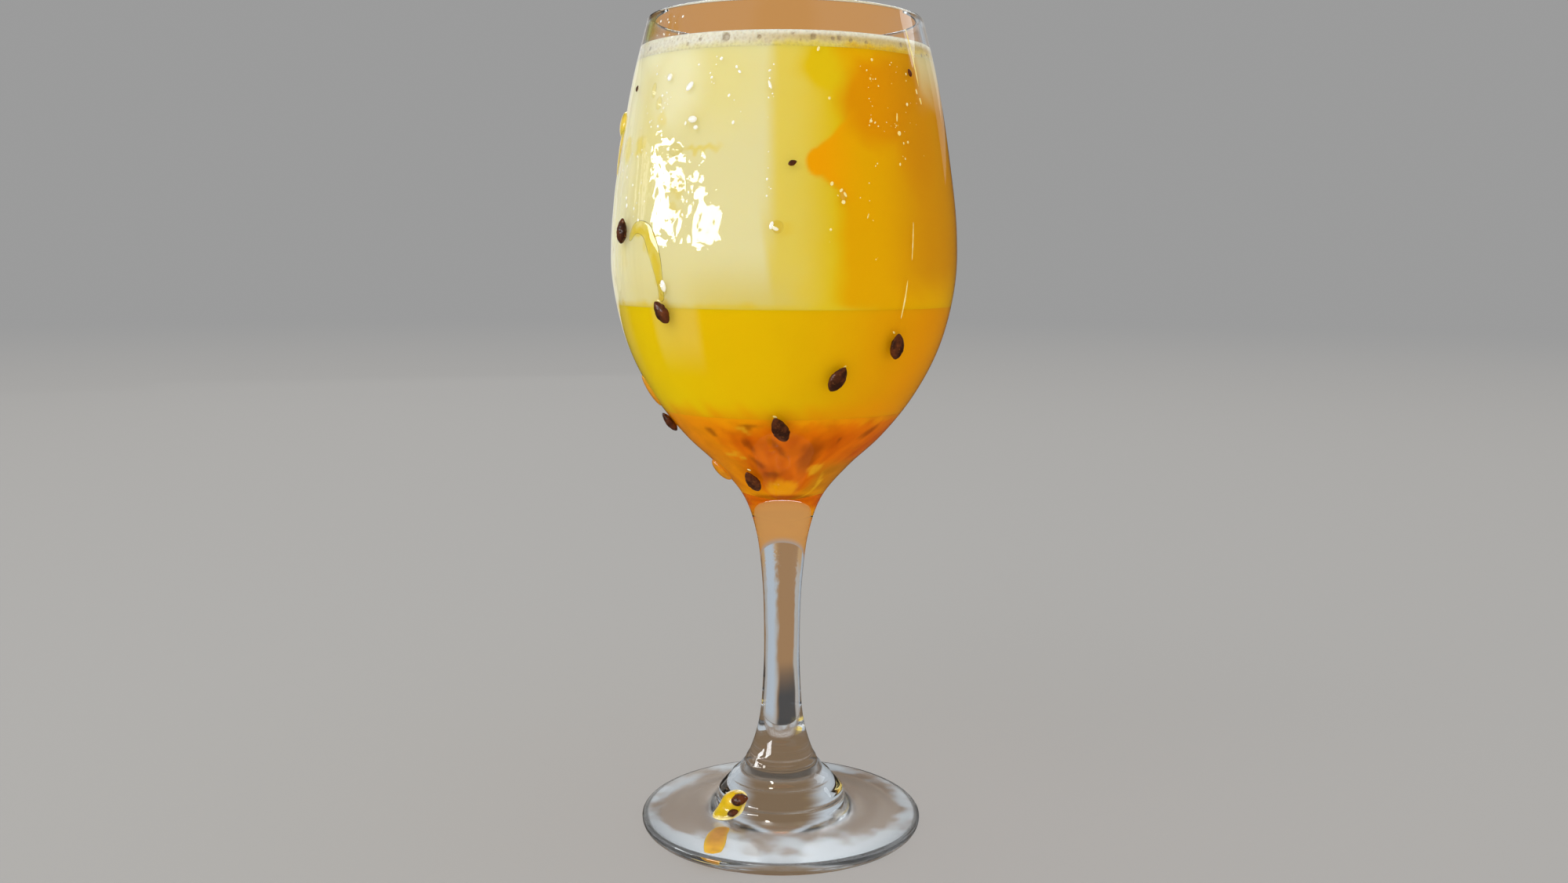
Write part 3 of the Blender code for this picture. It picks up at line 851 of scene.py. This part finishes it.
def makeFoam(bottom, top):
    # A flat cake of foam whose skin climbs the wall. Bubbles against the wall are round hollows in it,
    # as deep as a shallow ball's cap.
    shape, near = foamShape, drinkMesh["nearCorner"]
    heights = np.linspace(bottom, top + shape["climb"], shape["wallRings"])
    heights = np.concatenate([[bottom, bottom + near], heights[1:]])
    wall = rowsOf(innerRadius(heights, -drinkMesh["intoWall"]), heights)
    inward = np.array(shape["inward"])
    drop = shape["climb"] * (1 - np.exp(-inward / shape["fallsOver"]))
    skin = rowsOf(wall[-1, 0] - inward, wall[-1, 1] - drop)
    edge = wall[0, 0]
    underside = [[0, bottom], [edge * 0.5, bottom], [edge - 2 * near, bottom]]
    profile = np.vstack([underside, wall, skin, [[0, skin[-1, 1]]]])
    vertices, quads, triangles = turned(profile, azimuthsOf(shape["columns"]))
    azimuth, height = azimuthAndHeight(vertices)
    radius = np.hypot(vertices[:, 0], vertices[:, 1])
    arc, bubble, dent = radius.max(), 0 * azimuth, 0 * azimuth
    atWall = radius > wall[:, 0].min() - near
    for a, h, size in wallBubbles():
        distance = np.hypot(np.radians(away(azimuth, a)) * arc, height - h) / size
        dent = np.maximum(dent, size * shape["bubbleDepth"] * np.sqrt(np.clip(1 - distance**2, 0, 1)))
        bubble = np.maximum(bubble, step(distance, 1.0, 0.8) * (1 - 0.5 * step(distance, 0.7, 0.3)))
    uneven = 0.4 * ripples(*roundArc(azimuth), 25, 3, 14)
    low = step(height + uneven, bottom + 1.9, bottom + 0.1) * atWall
    back = step(azimuth, 178, 160)
    scale = np.where(atWall, 1 - dent / np.maximum(radius, 1), 1)
    putMesh(
        "foamCap", [(vertices * rowsOf(scale, scale, 1), quads, triangles)], foamMaterial(), ["foam"],
        {"bubble": bubble * atWall * 0.6, "under": low * (0.3 + 0.7 * step(azimuth, -60, -30)),
         "underYellow": low * step(azimuth, -6, -3) * back,
         # at the right, the foam's lower edge takes the painted whitish reflection
         "underGold": low * step(azimuth, 17, 27) * back, "underReflection": low * step(azimuth, 50, 58) * back,
         "warm": step(azimuth, -32, 12) * step(azimuth, 178, 120) * step(height, top + 0.7, top - 0.6)},
    )
    return skin[-1, 1]


def domeParts(places, rows=4, columns=9):
    # Half balls on a plane, as (x, y, z, radius) rows: one grid of angles for all of them at once.
    rise = np.radians(np.linspace(-20, 80, rows))[:, None]
    turn = circle(columns)[None, :]
    ball = rowsOf(np.cos(rise) * np.cos(turn), np.cos(rise) * np.sin(turn), np.sin(rise))
    return [
        tubeParts(ball * radius + (x, y, z), end=(x, y, z + radius)) for x, y, z, radius in places
    ]


def makeFoamBubbles(level):
    # Bubbles on top of the foam, smallest and closest together near the wall.
    draw = np.random.default_rng(foamShape["bubbleSeed"] + 1)
    count = foamShape["topBubbles"]
    edge = innerRadius(level) - 1.2
    radius = edge * draw.uniform(0, 1, count) ** 0.42
    turn = draw.uniform(0, 2 * math.pi, count)
    size = np.clip(draw.gamma(2.2, 0.16, count), 0.12, 1.2)
    radius = np.minimum(radius, edge - size)
    skin = mottledMaterial(
        "bubbleSkin", (0.86, 0.83, 0.68), (0.74, 0.66, 0.42), 600, {"Roughness": 0.12, "Coat Weight": 0.6}
    )
    places = rowsOf(radius * np.cos(turn), radius * np.sin(turn), level, size)
    putMesh("foamBubbles", domeParts(places), skin)


def levelBetween(lower, upper):
    return (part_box(lower)[1].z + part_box(upper)[0].z) / 2 / mm


def makeDrink():
    pulpTop = levelBetween("pulp_layer", "juice_layer")
    juiceTop = levelBetween("juice_layer", "milky_layer")
    milkyTop = levelBetween("milky_layer", "foam")
    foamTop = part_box("foam")[1].z / mm
    pulp = drinkMaterial("pulp", pulpLook)
    juice = drinkMaterial("juice", juiceLook)
    milky = drinkMaterial("milkyDrink", milkyLook)
    makeLayer("pulpLayer", "pulp_layer", glassShape["bowlBottom"], pulpTop, pulp, pulpMasks)
    makeLayer("juiceLayer", "juice_layer", pulpTop, juiceTop, juice, juiceMasks)
    makeLayer("milkyLayer", "milky_layer", juiceTop, milkyTop, milky, milkyMasks)
    makeFoamBubbles(makeFoam(milkyTop, foamTop - foamShape["below"]))


# Seeds, drops and runs on the outside

seedShape = {
    "length": 5.9, "width": 3.7, "thickness": 2.2,
    "sink": 0.25,
    "rows": 22, "columns": 28,
    "ridge": 0.06,
}
# Azimuth, height, lean of the tip towards +azimuth, share of full size, how far it is raised, and
# how much it is stretched along its length
bowlSeeds = [
    (-61.0, 149.2, 3, 1.0, 0, 1), (-41.3, 131.3, -35, 1.0, 0, 1), (40.2, 124.0, -9, 1.03, 0, 1.05),
    (19.3, 117.0, 22, 1.03, 0, 1.1), (-1.3, 105.1, -18, 1.06, 0, 1.26), (-28.6, 90.6, -5, 0.98, 0, 1.22),
    (-80.0, 103.9, 0, 0.96, 0, 1),
]
footSeeds = [(-38.5, 9.4, 68, 0.86, 0.7, 1), (-42.5, 6.0, 60, 0.55, 0.8, 1)]
seedChips = [(2.4, 163.6, 70, 0.34, 0, 1), (-66.5, 181.8, 20, 0.26, 0, 1), (49.5, 184.6, -20, 0.32, 0, 1)]


def seedParts(azimuth, height, lean, share, raised, stretch, seed):
    # A flattened drop: its width follows a sine along its length, drawn in to a tip, and low ridges
    # run over it. It lies against the glass and keeps straight.
    shape = seedShape
    t = np.linspace(0, 1, shape["rows"] + 2)[1:-1][:, None]
    turn = circle(shape["columns"])[None, :]
    fullness = np.sin(math.pi * t) ** 0.62 * (1.12 - 0.3 * t)
    rough = 1 + shape["ridge"] * ripples(6 * t, 3 * np.cos(turn) + 2 * np.sin(turn), seed, 0.7, 2)
    length = shape["length"] * share * stretch
    around = shape["width"] * share / 2 * fullness * np.cos(turn) * rough
    out = shape["thickness"] * share / 2 * fullness * np.sin(turn) * rough
    lift = shape["thickness"] * share / 2 - shape["sink"] + raised
    axes = glassFrame(azimuth, height, lean)
    local = rowsOf(length * (t - 0.5), around, out + lift)
    ends = np.array([[-length / 2, 0, lift], [length / 2, 0, lift]])
    origin = placeOnGlass(azimuth, height, 0.0)
    return tubeParts(local @ axes + origin, *(ends @ axes + origin))


def glassFrame(azimuth, height, lean):
    # Rows: up the glass turned by the lean, round it, and out of it.
    angle, slope, turn = math.radians(azimuth), float(outerSlope(height)), math.radians(lean)
    out = np.array([math.sin(angle), -math.cos(angle), 0])
    around = np.array([math.cos(angle), math.sin(angle), 0])
    up = (out * slope + (0, 0, 1)) / math.hypot(1, slope)
    normal = np.cross(around, up)
    turnedUp = up * math.cos(turn) + around * math.sin(turn)
    return np.array([turnedUp, np.cross(normal, turnedUp), normal])


def dropParts(
    azimuth, height, halfLength, halfWidth, standsOut, lean, root=0.5, rows=25, columns=36, power=1.0
):
    # A low dome bent round the glass. Its height falls from the middle as (1 - r^2)^(power / 2) does,
    # so a larger power has softer edges; its underside is a dome turned inwards, in the glass.
    rise = np.linspace(-90, 90, rows)[1:-1]
    r = np.cos(np.radians(rise))[:, None]
    turn = circle(columns)[None, :]
    sine = np.sin(np.radians(rise))
    high = np.where(rise > 0, standsOut * np.abs(sine) ** power, root * sine)
    along, around = halfLength * r * np.cos(turn), halfWidth * r * np.sin(turn)
    points = patchOnGlass(azimuth, height, lean, along, around, high[:, None])
    return tubeParts(
        points, placeOnGlass(azimuth, height, -root), placeOnGlass(azimuth, height, standsOut)
    )


def clearDropParts(azimuth, height, halfLength, halfWidth, standsOut, lean):
    # Clear juice: soft edges, and an underside close below the glass's surface, so it bends light
    # only where it is thick.
    return dropParts(azimuth, height, halfLength, halfWidth, standsOut, lean, root=0.08, power=2.4)


def fleckParts(azimuth, height, halfLength, halfWidth, lean):
    # Its height is nearly half its half width.
    standsOut = 0.45 * halfWidth
    return dropParts(
        azimuth, height, halfLength, halfWidth, standsOut, lean, root=0.1, rows=9, columns=12
    )


def runParts(route, halfWidths, standsOut, root=0.08, steps=10, columns=16):
    # A domed string of juice along places on the glass: a flattened round carried along the route,
    # its half width read from the list.
    places = smoothCurve([(a, h, w) for (a, h), w in zip(route, halfWidths)], steps)
    azimuth, height, width = places.T
    centres = placeOnGlass(azimuth, height, 0)
    ahead = np.gradient(centres, axis=0)
    normal = placeOnGlass(azimuth, height, 1) - centres
    side = np.cross(normal, ahead)
    side /= np.linalg.norm(side, axis=1, keepdims=True)
    turn = circle(columns)
    closing = np.sqrt(np.clip(1 - np.linspace(-1, 1, len(width)) ** 16, 0.01, 1))
    across = (width * closing)[:, None] * np.cos(turn)[None, :]
    bulge = closing * width / max(halfWidths)
    above = standsOut * bulge[:, None] * np.clip(np.sin(turn), 0, 1) ** 2
    high = np.where(np.sin(turn) > 0, above, root * np.sin(turn))
    points = centres[:, None] + side[:, None] * across[..., None] + normal[:, None] * high[..., None]
    return tubeParts(points)


def seedMaterial():
    made, nodes = newMaterial("seedSkin")
    colour, _ = mottled(nodes, (0.035, 0.008, 0.0015), (0.13, 0.03, 0.004), 420, detail=4)
    colour, fine = mottled(nodes, colour, (0.24, 0.075, 0.013), 2200, 0.7, (0.55, 0.8))
    return setShader(made, {
        "Base Color": colour, "Normal": bumpFrom(nodes, fine, 0.5, 0.1), "Roughness": 0.6,
        "Specular IOR Level": 0.1, "Coat Weight": 0.25, "Coat Roughness": 0.12,
    })


def wetPulpMaterial(name, low, high, heights, under, roughness=0.2, coat=0.25):
    # Thick pulp whose colour passes from one to the other between two heights.
    made, nodes = newMaterial(name)
    rise = ramp(nodes, axisOf(nodes, objectPlace(nodes), "Z"), heights[0] * mm, heights[1] * mm)
    colour = mixColour(nodes, rise, low, high)
    darker = mixColour(nodes, 0.75, (0, 0, 0), colour)
    return setShader(made, {
        "Base Color": mottled(nodes, colour, darker, 260)[0], "Roughness": roughness,
        "Specular IOR Level": 0.4, "Coat Weight": coat, "Subsurface Weight": under,
        "Subsurface Radius": (1, 0.6, 0.15), "Subsurface Scale": 1.5 * mm,
    })


def clearJuiceMaterial(name, pale, strong):
    clear = {"Roughness": 0.0, "IOR": 1.36, "Transmission Weight": 1.0}
    return openToLight(mottledMaterial(name, pale, strong, 300, clear, (0.3, 0.8)))


def fleckMaterial(name, pale, strong):
    return mottledMaterial(name, pale, strong, 500, {"Roughness": 0.15, "Coat Weight": 0.8})


# Azimuth, height, half length, half width, how far it stands out, lean
juiceDrops = [
    (-84.0, 174.5, 3.2, 4.0, 1.1, 0), (-82.5, 168.5, 6.4, 3.4, 0.45, 0), (-81.5, 111.0, 4.4, 2.4, 0.7, 0),
    (-80.0, 91.4, 3.4, 2.6, 1.4, 0),
]
clearDrops = [
    (-37.3, 166.9, 1.5, 2.1, 0.5, 0),
    (-41.0, 136.4, 1.8, 1.3, 0.5, -15), (-2.0, 150.0, 1.4, 1.3, 0.4, 0), (18.0, 156.6, 1.5, 0.8, 0.35, 0),
    (-48.0, 177.5, 1.5, 1.1, 0.4, 0), (-52.0, 180.5, 1.8, 0.9, 0.35, 0),
]
# The drop on the foot has a lower pale one round it, which shows as its edge
footDrop = {
    "at": (-52.0, 7.2), "half": (5.6, 3.9), "stands": 1.4, "lean": 45,
    "paleEdge": 0.35, "edgeStands": 0.62,
}
footStreak = {"route": [(-42.0, 4.31), (-37.0, 4.02), (-32.6, 3.7), (-28.6, 3.36)],
              "halfWidths": [1.7, 2.5, 2.6, 2.0], "standsOut": 0.12}
juiceRun = {
    "route": [(-57.5, 147.0), (-53.5, 149.8), (-47.5, 149.0), (-43.5, 143.5), (-41.6, 137.5), (-41.6, 133.5)],
    "halfWidths": [0.7, 1.3, 1.8, 1.8, 1.0, 1.0],
    "standsOut": 0.18,
}
thinTrails = [
    # route, half widths, how far it stands out: two over a seed, one at the right under the rim
    ([(43.6, 151.5), (43.2, 147.0), (42.8, 143.0)], [0.06, 0.13, 0.06], 0.12),
    ([(41.4, 138.6), (41.1, 134.5), (40.6, 130.0)], [0.1, 0.22, 0.12], 0.12),
    ([(52.5, 195.0), (53.4, 189.0), (54.2, 182.0)], [0.15, 0.3, 0.15], 0.12),
]
# Azimuth, height, half length, half width, lean; then areas with seeded ones: azimuths, heights,
# number and largest half width
# White specks: painted glints of the window on small drops of juice.
paintedGlints = {
    "placed": [
        (-34.0, 180.6, 1.25, 0.7, 40), (-44.0, 183.0, 0.9, 0.8, 20), (-31.5, 173.3, 0.8, 1.2, 0),
        (-30.0, 171.5, 0.5, 0.6, 0), (-40.3, 137.0, 1.4, 0.75, -12), (-3.8, 150.3, 0.9, 0.45, 15),
        (-2.6, 149.6, 0.7, 0.4, -70), (-5.0, 180.3, 1.0, 0.3, -20), (-22.5, 186.2, 0.4, 0.4, 0),
        (-61.0, 155.0, 0.6, 0.5, 0),
    ],
    "areas": [((-58, -14), (172, 189), 34, 0.32), ((-5.5, -3.5), (138, 186), 14, 0.24),
              ((-60, -40), (192, 197), 16, 0.3), ((-70, -48), (150, 172), 20, 0.4)],
}
# Cream specks on the right: partly splashes of cream, partly painted glints of small droplets.
creamSpecksAndGlints = {
    "placed": [
        (31.6, 186.5, 0.35, 0.3, 0), (52.2, 180.6, 0.6, 0.25, -15), (54.0, 178.6, 0.8, 0.3, -15),
        (45.7, 177.4, 0.4, 0.35, 0), (40.3, 170.8, 0.55, 0.5, 0), (40.0, 174.3, 1.0, 0.2, 8),
        (29.0, 173.1, 0.35, 0.35, 0), (14.6, 177.6, 0.35, 0.3, 0), (11.5, 188.2, 0.6, 0.3, 20),
        (14.5, 159.3, 0.5, 0.35, 20), (17.4, 157.9, 0.5, 0.3, 40), (18.6, 157.0, 0.6, 0.3, -30),
        (18.0, 155.4, 0.45, 0.45, 0), (30.1, 182.3, 0.3, 0.25, 0), (26.0, 152.5, 0.6, 0.15, 20),
        (13.9, 149.5, 0.3, 0.3, 0), (44.0, 169.0, 0.3, 0.3, 0), (39.5, 164.0, 0.35, 0.25, 0),
        # the last five are painted glints at the tips of the seeds
        (-3.5, 107.6, 0.55, 0.3, -60), (-28.6, 93.1, 0.5, 0.3, -60), (-43.2, 133.5, 0.7, 0.4, -50),
        (38.6, 126.9, 0.4, 0.22, -50), (21.6, 119.3, 0.5, 0.25, 40),
    ],
    "areas": [((26, 54), (163, 187), 34, 0.19), ((28, 38), (172, 183), 12, 0.2),
              ((8, 30), (140, 162), 8, 0.16), ((100, 150), (165, 186), 20, 0.22)],
}


def flecks(settings, seed):
    # The placed ones, then the seeded ones of each area, small ones more often than large ones.
    draw = np.random.default_rng(seed)
    rows = list(settings["placed"])
    for azimuths, heights, count, largest in settings["areas"]:
        size = largest * (0.35 + 0.65 * draw.uniform(0, 1, count) ** 2)
        rows += rowsOf(
            draw.uniform(*azimuths, count), draw.uniform(*heights, count),
            size * draw.uniform(1, 1.7, count), size, draw.uniform(-50, 50, count),
        ).tolist()
    return [fleckParts(*row) for row in rows]


# The two colours of each finish, which its pattern or its height passes between
toppingLooks = {
    "clear": ((0.99, 0.96, 0.82), (0.97, 0.90, 0.58)),
    "golden": ((1.0, 0.96, 0.55), (0.99, 0.88, 0.30)),
    "pulp": ((0.70, 0.26, 0.003), (0.84, 0.62, 0.07)),
    "yellow": ((0.80, 0.56, 0.006), (0.80, 0.52, 0.006)),
    "stain": ((0.70, 0.36, 0.01), (0.44, 0.22, 0.03)),
    "cream": ((0.93, 0.81, 0.38), (0.88, 0.64, 0.13)),
    # the white of the painted glints
    "whiteReflection": ((0.97, 0.96, 0.90), (0.95, 0.91, 0.74)),
}


def seedsAt(places, seed):
    return [seedParts(*place, seed + i) for i, place in enumerate(places)]


def makeToppings():
    look, glass, onTop = toppingLooks, ["glass"], ()
    dark = seedMaterial()
    clear = clearJuiceMaterial("clearJuice", *look["clear"])
    golden = clearJuiceMaterial("goldenJuice", *look["golden"])
    pulp = wetPulpMaterial("wetPulp", *look["pulp"], (100, 150), 0.4)
    yellow = wetPulpMaterial("footJuice", *look["yellow"], (4, 10), 0.3)
    stain = wetPulpMaterial("juiceStain", *look["stain"], (3.5, 4.2), 0.3, roughness=0.8, coat=0.0)
    cream = fleckMaterial("cream", *look["cream"])
    whiteReflection = fleckMaterial("glintWhite", *look["whiteReflection"])
    drop = footDrop
    stands, lean = drop["stands"], drop["lean"]
    inner = [half - drop["paleEdge"] for half in drop["half"]]
    edge = dropParts(*drop["at"], *drop["half"], stands * drop["edgeStands"], lean)
    # with the wine glass, the larger ones replace the glass's solid
    for name, parts, material, slot, replaced in (
        ("bowlSeeds", seedsAt(bowlSeeds, 50), dark, "seed", glass),
        ("footSeeds", seedsAt(footSeeds, 60), dark, "seed", glass),
        ("seedChips", seedsAt(seedChips, 70), dark, "seed", glass),
        ("juiceDrops", [dropParts(*place) for place in juiceDrops], pulp, "wet_pulp", glass),
        ("footDropEdge", [edge], cream, "wet_pulp", glass),
        ("footDrop", [dropParts(*drop["at"], *inner, stands, lean)], yellow, "wet_pulp", glass),
        ("clearDrops", [clearDropParts(*place) for place in clearDrops], clear, "wet_pulp", glass),
        ("juiceRun", [runParts(**juiceRun)], golden, "wet_pulp", glass),
        ("footStreak", [runParts(**footStreak)], stain, "wet_pulp", onTop),
        ("thinTrails", [runParts(*trail) for trail in thinTrails], cream, "wet_pulp", onTop),
        # the white specks are painted glints, and the cream ones are partly painted glints
        ("paintedGlints", flecks(paintedGlints, 81), whiteReflection, "milky_drink", onTop),
        ("creamSpecksAndGlints", flecks(creamSpecksAndGlints, 82), cream, "milky_drink", onTop),
    ):
        putMesh(name, parts, material, replaced)


# Floor and light

coolWhite = (0.93, 0.97, 1.0)
studio = {
    "floorRadius": 4.0,  # metres, as all lengths here
    "lampsAim": 0.15,  # height of the point that the panels face
    "fade": (0.7, 3.0),  # where the floor starts and ends to pass into the background
    "floor": (0.40, 0.395, 0.39),
    "background": (0.33, 0.33, 0.33),  # seen straight or through glass
    "mirrored": (0.045, 0.04, 0.034),  # what shiny surfaces mirror, so the drink keeps its colours
    "inside": (0.21, 0.145, 0.09),  # what light finds that glass mirrored inside itself
    "insideAside": ((0.22, 0.5), (0.50, 0.55, 0.60)),  # the same, from the sides: how far, and colour
    "around": (1.0, 0.99, 0.97),  # lights matt surfaces from above and beside
    "fromFloor": (1.0, 0.985, 0.96),
    # seen through glass only: how high it starts and is full, and its colour, an orange for the room that
    # also paints the drink's light in the stem's top
    "above": ((-0.04, 0.03), (0.58, 0.285, 0.09)),
    # cards on the floor that show only through glass: middle and half width of each within a quarter
    # turn, colour, and the distances where it starts, is full, starts to end and ends
    "cards": [
        (45, 60, (0.50, 0.32, 0.16), (0.35, 1.0, 9, 10)),
        # a painted reflection of the window, blue-white down the stem
        (63, 13, (0.44, 0.50, 0.57), (0.035, 0.055, 9, 10)),
        (11, 20, (0.345, 0.205, 0.105), (0.035, 0.055, 9, 10)),
        (13, 20, (0.07, 0.07, 0.072), (0.033, 0.040, 0.08, 0.14)),
    ],
    "cardFade": 4,  # degrees on both sides of a card's edge
    "wavy": 9,  # degrees by which the cards' sides swing
    "waveScale": 14,
    "underFoot": {  # seen through the foot
        "reach": (0.0366, 0.0350), "colour": (0.25, 0.178, 0.125),
        # pale clouds, painted reflections in the foot: where the noise lies in the band. It is raised from
        # one distance from the axis to another, and from one y to another in front
        "clouds": (0.50, 0.535, 0.57), "scale": 105, "band": (0.70, 0.97),
        "edge": (0.0265, 0.0320), "edgeRaise": 0.34, "front": (-0.004, -0.020), "frontRaise": 0.4,
    },
    # azimuths and elevations that each panel covers, its distance, brightness and colour. The last
    # one lights matt surfaces alone, the others shiny surfaces alone
    "lamps": {
        "columnPane": ((-93, -82), (4, 15.8), 1.1, 16.0, coolWhite),
        "cornerPane": ((-99, -93), (13.5, 15.8), 1.1, 16.0, coolWhite),
        "joinPane": ((-82, -66), (14.2, 16.6), 1.1, 16.0, coolWhite),
        "stripPane": ((-62, -53), (12, 16.9), 1.1, 16.0, coolWhite),
        "blobPane": ((-60, -41), (3.5, 13), 1.1, 16.0, coolWhite),
        "lowPane": ((-83, -71), (4, 9), 1.1, 16.0, coolWhite),
        "dimPane": ((-113, -100), (4, 15), 1.1, 0.6, coolWhite),
        "dimCore": ((-110, -105), (6, 13), 1.12, 0.9, coolWhite),
        "leftLimb": ((-178, -136), (-12, 16), 1.3, 0.3, (1.0, 0.99, 0.95)),
        "leftEdge": ((-178, -150), (-10, 14), 1.35, 0.35, (1.0, 0.99, 0.95)),
        "rightLimb": ((138, 172), (8, 26), 1.3, 0.25, (1.0, 0.98, 0.94)),
        "rightEdge": ((150, 172), (10, 24), 1.35, 0.25, (1.0, 0.98, 0.94)),
        "glint": ((-45, -36), (60, 69), 1.0, 50.0, (1.0, 0.99, 0.97)),
        "backPanel": ((154, 208), (29, 41), 1.5, 6.0, (0.86, 0.94, 1.0)),
        "backRight": ((112, 146), (22, 38), 1.5, 2.0, (0.86, 0.94, 1.0)),
        "softBox": ((-68, -14), (14, 52), 1.3, 1.0, (1.0, 0.985, 0.96)),
    },
}


def rayMasks(nodes):
    # 1 on each kind of ray: one that a mirror sent last; one that glass mirrored inside itself and
    # then let out; one that glass let through; the camera's; one that a matt surface sent.
    path = addNode(nodes, "ShaderNodeLightPath").outputs
    through = path["Is Transmission Ray"]
    return {
        "mirror": calc(nodes, "GREATER_THAN", path["Is Glossy Ray"], through, clamp=True),
        "inside": calc(nodes, "MULTIPLY", through, path["Glossy Depth"], clamp=True),
        "through": through, "camera": path["Is Camera Ray"], "diffuse": path["Is Diffuse Ray"],
    }


def wavyAngle(nodes, place):
    # The angle round the glass, made wavy by a noise.
    turn = calc(nodes, "ARCTAN2", axisOf(nodes, place, "X"), axisOf(nodes, place, "Y"))
    swing, noise = 2 * math.radians(studio["wavy"]), noiseAt(nodes, place, studio["waveScale"])
    return calc(nodes, "MULTIPLY_ADD", noise, swing, turn)


def cardMask(nodes, angle, far, through, middle, half, reach):
    # 1 on a card: the angle, counted within a quarter turn, lies near the card's middle, and the
    # distance in its reach.
    start = math.pi + math.radians(studio["wavy"] - middle) - math.pi / 4
    value = calc(nodes, "FLOORED_MODULO", calc(nodes, "SUBTRACT", angle, start), math.pi / 2)
    value = calc(nodes, "ABSOLUTE", calc(nodes, "SUBTRACT", value, math.pi / 4))
    fade = studio["cardFade"]
    near = ramp(nodes, value, math.radians(half + fade), math.radians(half - fade))
    starts, ends = ramp(nodes, far, *reach[:2]), ramp(nodes, far, reach[3], reach[2])
    for factor in (starts, ends, through):
        near = calc(nodes, "MULTIPLY", near, factor)
    return near


def footMasks(nodes, place, far, through):
    # 1 under the foot, and 1 on the pale clouds there, which paint the foot's reflections: a noise, raised
    # towards the front and the edge.
    look = studio["underFoot"]
    value = noiseAt(nodes, place, look["scale"])
    front = ramp(nodes, axisOf(nodes, place, "Y"), *look["front"])
    value = calc(nodes, "MULTIPLY_ADD", front, look["frontRaise"], value)
    value = calc(nodes, "MULTIPLY_ADD", ramp(nodes, far, *look["edge"]), look["edgeRaise"], value)
    under = calc(nodes, "MULTIPLY", ramp(nodes, far, *look["reach"]), through)
    return under, calc(nodes, "MULTIPLY", ramp(nodes, value, *look["band"]), under)


def makeFloor():
    # A disc that passes into the background's own colour far from the glass, so no edge shows. Matt
    # surfaces get an even light from it, and mirrors find it dark.
    made, nodes = newMaterial("paleFloor")
    made.cycles.emission_sampling = "NONE"
    setShader(made, {"Base Color": studio["floor"], "Roughness": 0.9, "Specular IOR Level": 0.1})
    place, masks = objectPlace(nodes), rayMasks(nodes)
    through, angle = masks["through"], wavyAngle(nodes, place)
    far = addNode(nodes, "ShaderNodeVectorMath", {0: place}, operation="LENGTH").outputs["Value"]
    layers = [(studio["background"], ramp(nodes, far, *studio["fade"]))]
    for middle, half, colour, reach in studio["cards"]:
        layers.append((colour, cardMask(nodes, angle, far, through, middle, half, reach)))
    under, pale = footMasks(nodes, place, far, through)
    layers += [
        (studio["underFoot"]["colour"], under), (studio["underFoot"]["clouds"], pale),
        (studio["fromFloor"], masks["diffuse"]), (studio["mirrored"], masks["mirror"]),
        (studio["inside"], masks["inside"]),
    ]
    surface = nodes["Principled BSDF"].outputs["BSDF"]
    for colour, factor in layers:
        glow = addNode(nodes, "ShaderNodeEmission", {"Color": colour}).outputs["Emission"]
        surface = mixShader(nodes, factor, surface, glow)
    feed(nodes["Material Output"].inputs["Surface"], surface)
    turn = circle(64)
    ring = rowsOf(np.cos(turn), np.sin(turn), 0) * studio["floorRadius"]
    mesh = bpy.data.meshes.new("floor")
    mesh.from_pydata(ring.tolist(), [], [list(range(len(turn)))])
    mesh.materials.append(made)
    floor = bpy.data.objects.new("floor", mesh)
    bpy.context.scene.collection.objects.link(floor)


def makeLamp(name, azimuths, elevations, distance, brightness, colour):
    # A flat panel that covers the given angles as seen from the bowl's middle. Its power is its
    # brightness times pi times its area.
    azimuth, elevation = np.radians(np.mean(azimuths)), np.radians(np.mean(elevations))
    width, height = (2 * distance * np.tan(np.radians(np.ptp(span)) / 2) for span in (azimuths, elevations))
    width *= np.cos(elevation)
    lamp = bpy.data.lights.new(name, "AREA")
    lamp.shape = "RECTANGLE"
    lamp.size, lamp.size_y = float(width), float(height)
    lamp.energy = brightness * math.pi * lamp.size * lamp.size_y
    lamp.color = colour
    made = bpy.data.objects.new(name, lamp)
    flat = distance * np.cos(elevation)
    reach = Vector((flat * np.sin(azimuth), -flat * np.cos(azimuth), distance * np.sin(elevation)))
    made.rotation_euler = (-reach).to_track_quat("-Z", "Y").to_euler()
    made.location = reach + Vector((0, 0, studio["lampsAim"]))
    made.visible_camera = made.visible_transmission = False
    matt = name == "softBox"
    made.visible_diffuse, made.visible_glossy = matt, not matt
    bpy.context.scene.collection.objects.link(made)


def makeWorld():
    world = bpy.data.worlds.new("paleRoom")
    world.use_nodes = True
    nodes = world.node_tree.nodes
    masks = rayMasks(nodes)
    heading = addNode(nodes, "ShaderNodeTexCoord").outputs["Generated"]
    band, upper = studio["above"]
    rise = ramp(nodes, axisOf(nodes, heading, "Z"), *band)
    through = mixColour(nodes, rise, studio["background"], upper)
    band, beside = studio["insideAside"]
    aside = ramp(nodes, calc(nodes, "ABSOLUTE", axisOf(nodes, heading, "X")), *band)
    colour = studio["around"]
    for mask, over in (
        ("through", through), ("camera", studio["background"]), ("mirror", studio["mirrored"]),
        ("inside", mixColour(nodes, aside, studio["inside"], beside)),
    ):
        colour = mixColour(nodes, masks[mask], colour, over)
    feed(nodes["Background"].inputs["Color"], colour)
    bpy.context.scene.world = world


def makeStudio():
    makeFloor()
    for name, values in studio["lamps"].items():
        makeLamp(name, *values)
    makeWorld()
    bpy.context.scene.view_settings.view_transform = "Standard"


makeCamera()
makeGlass()
makeDrink()
makeToppings()
makeStudio()
print("scene made")
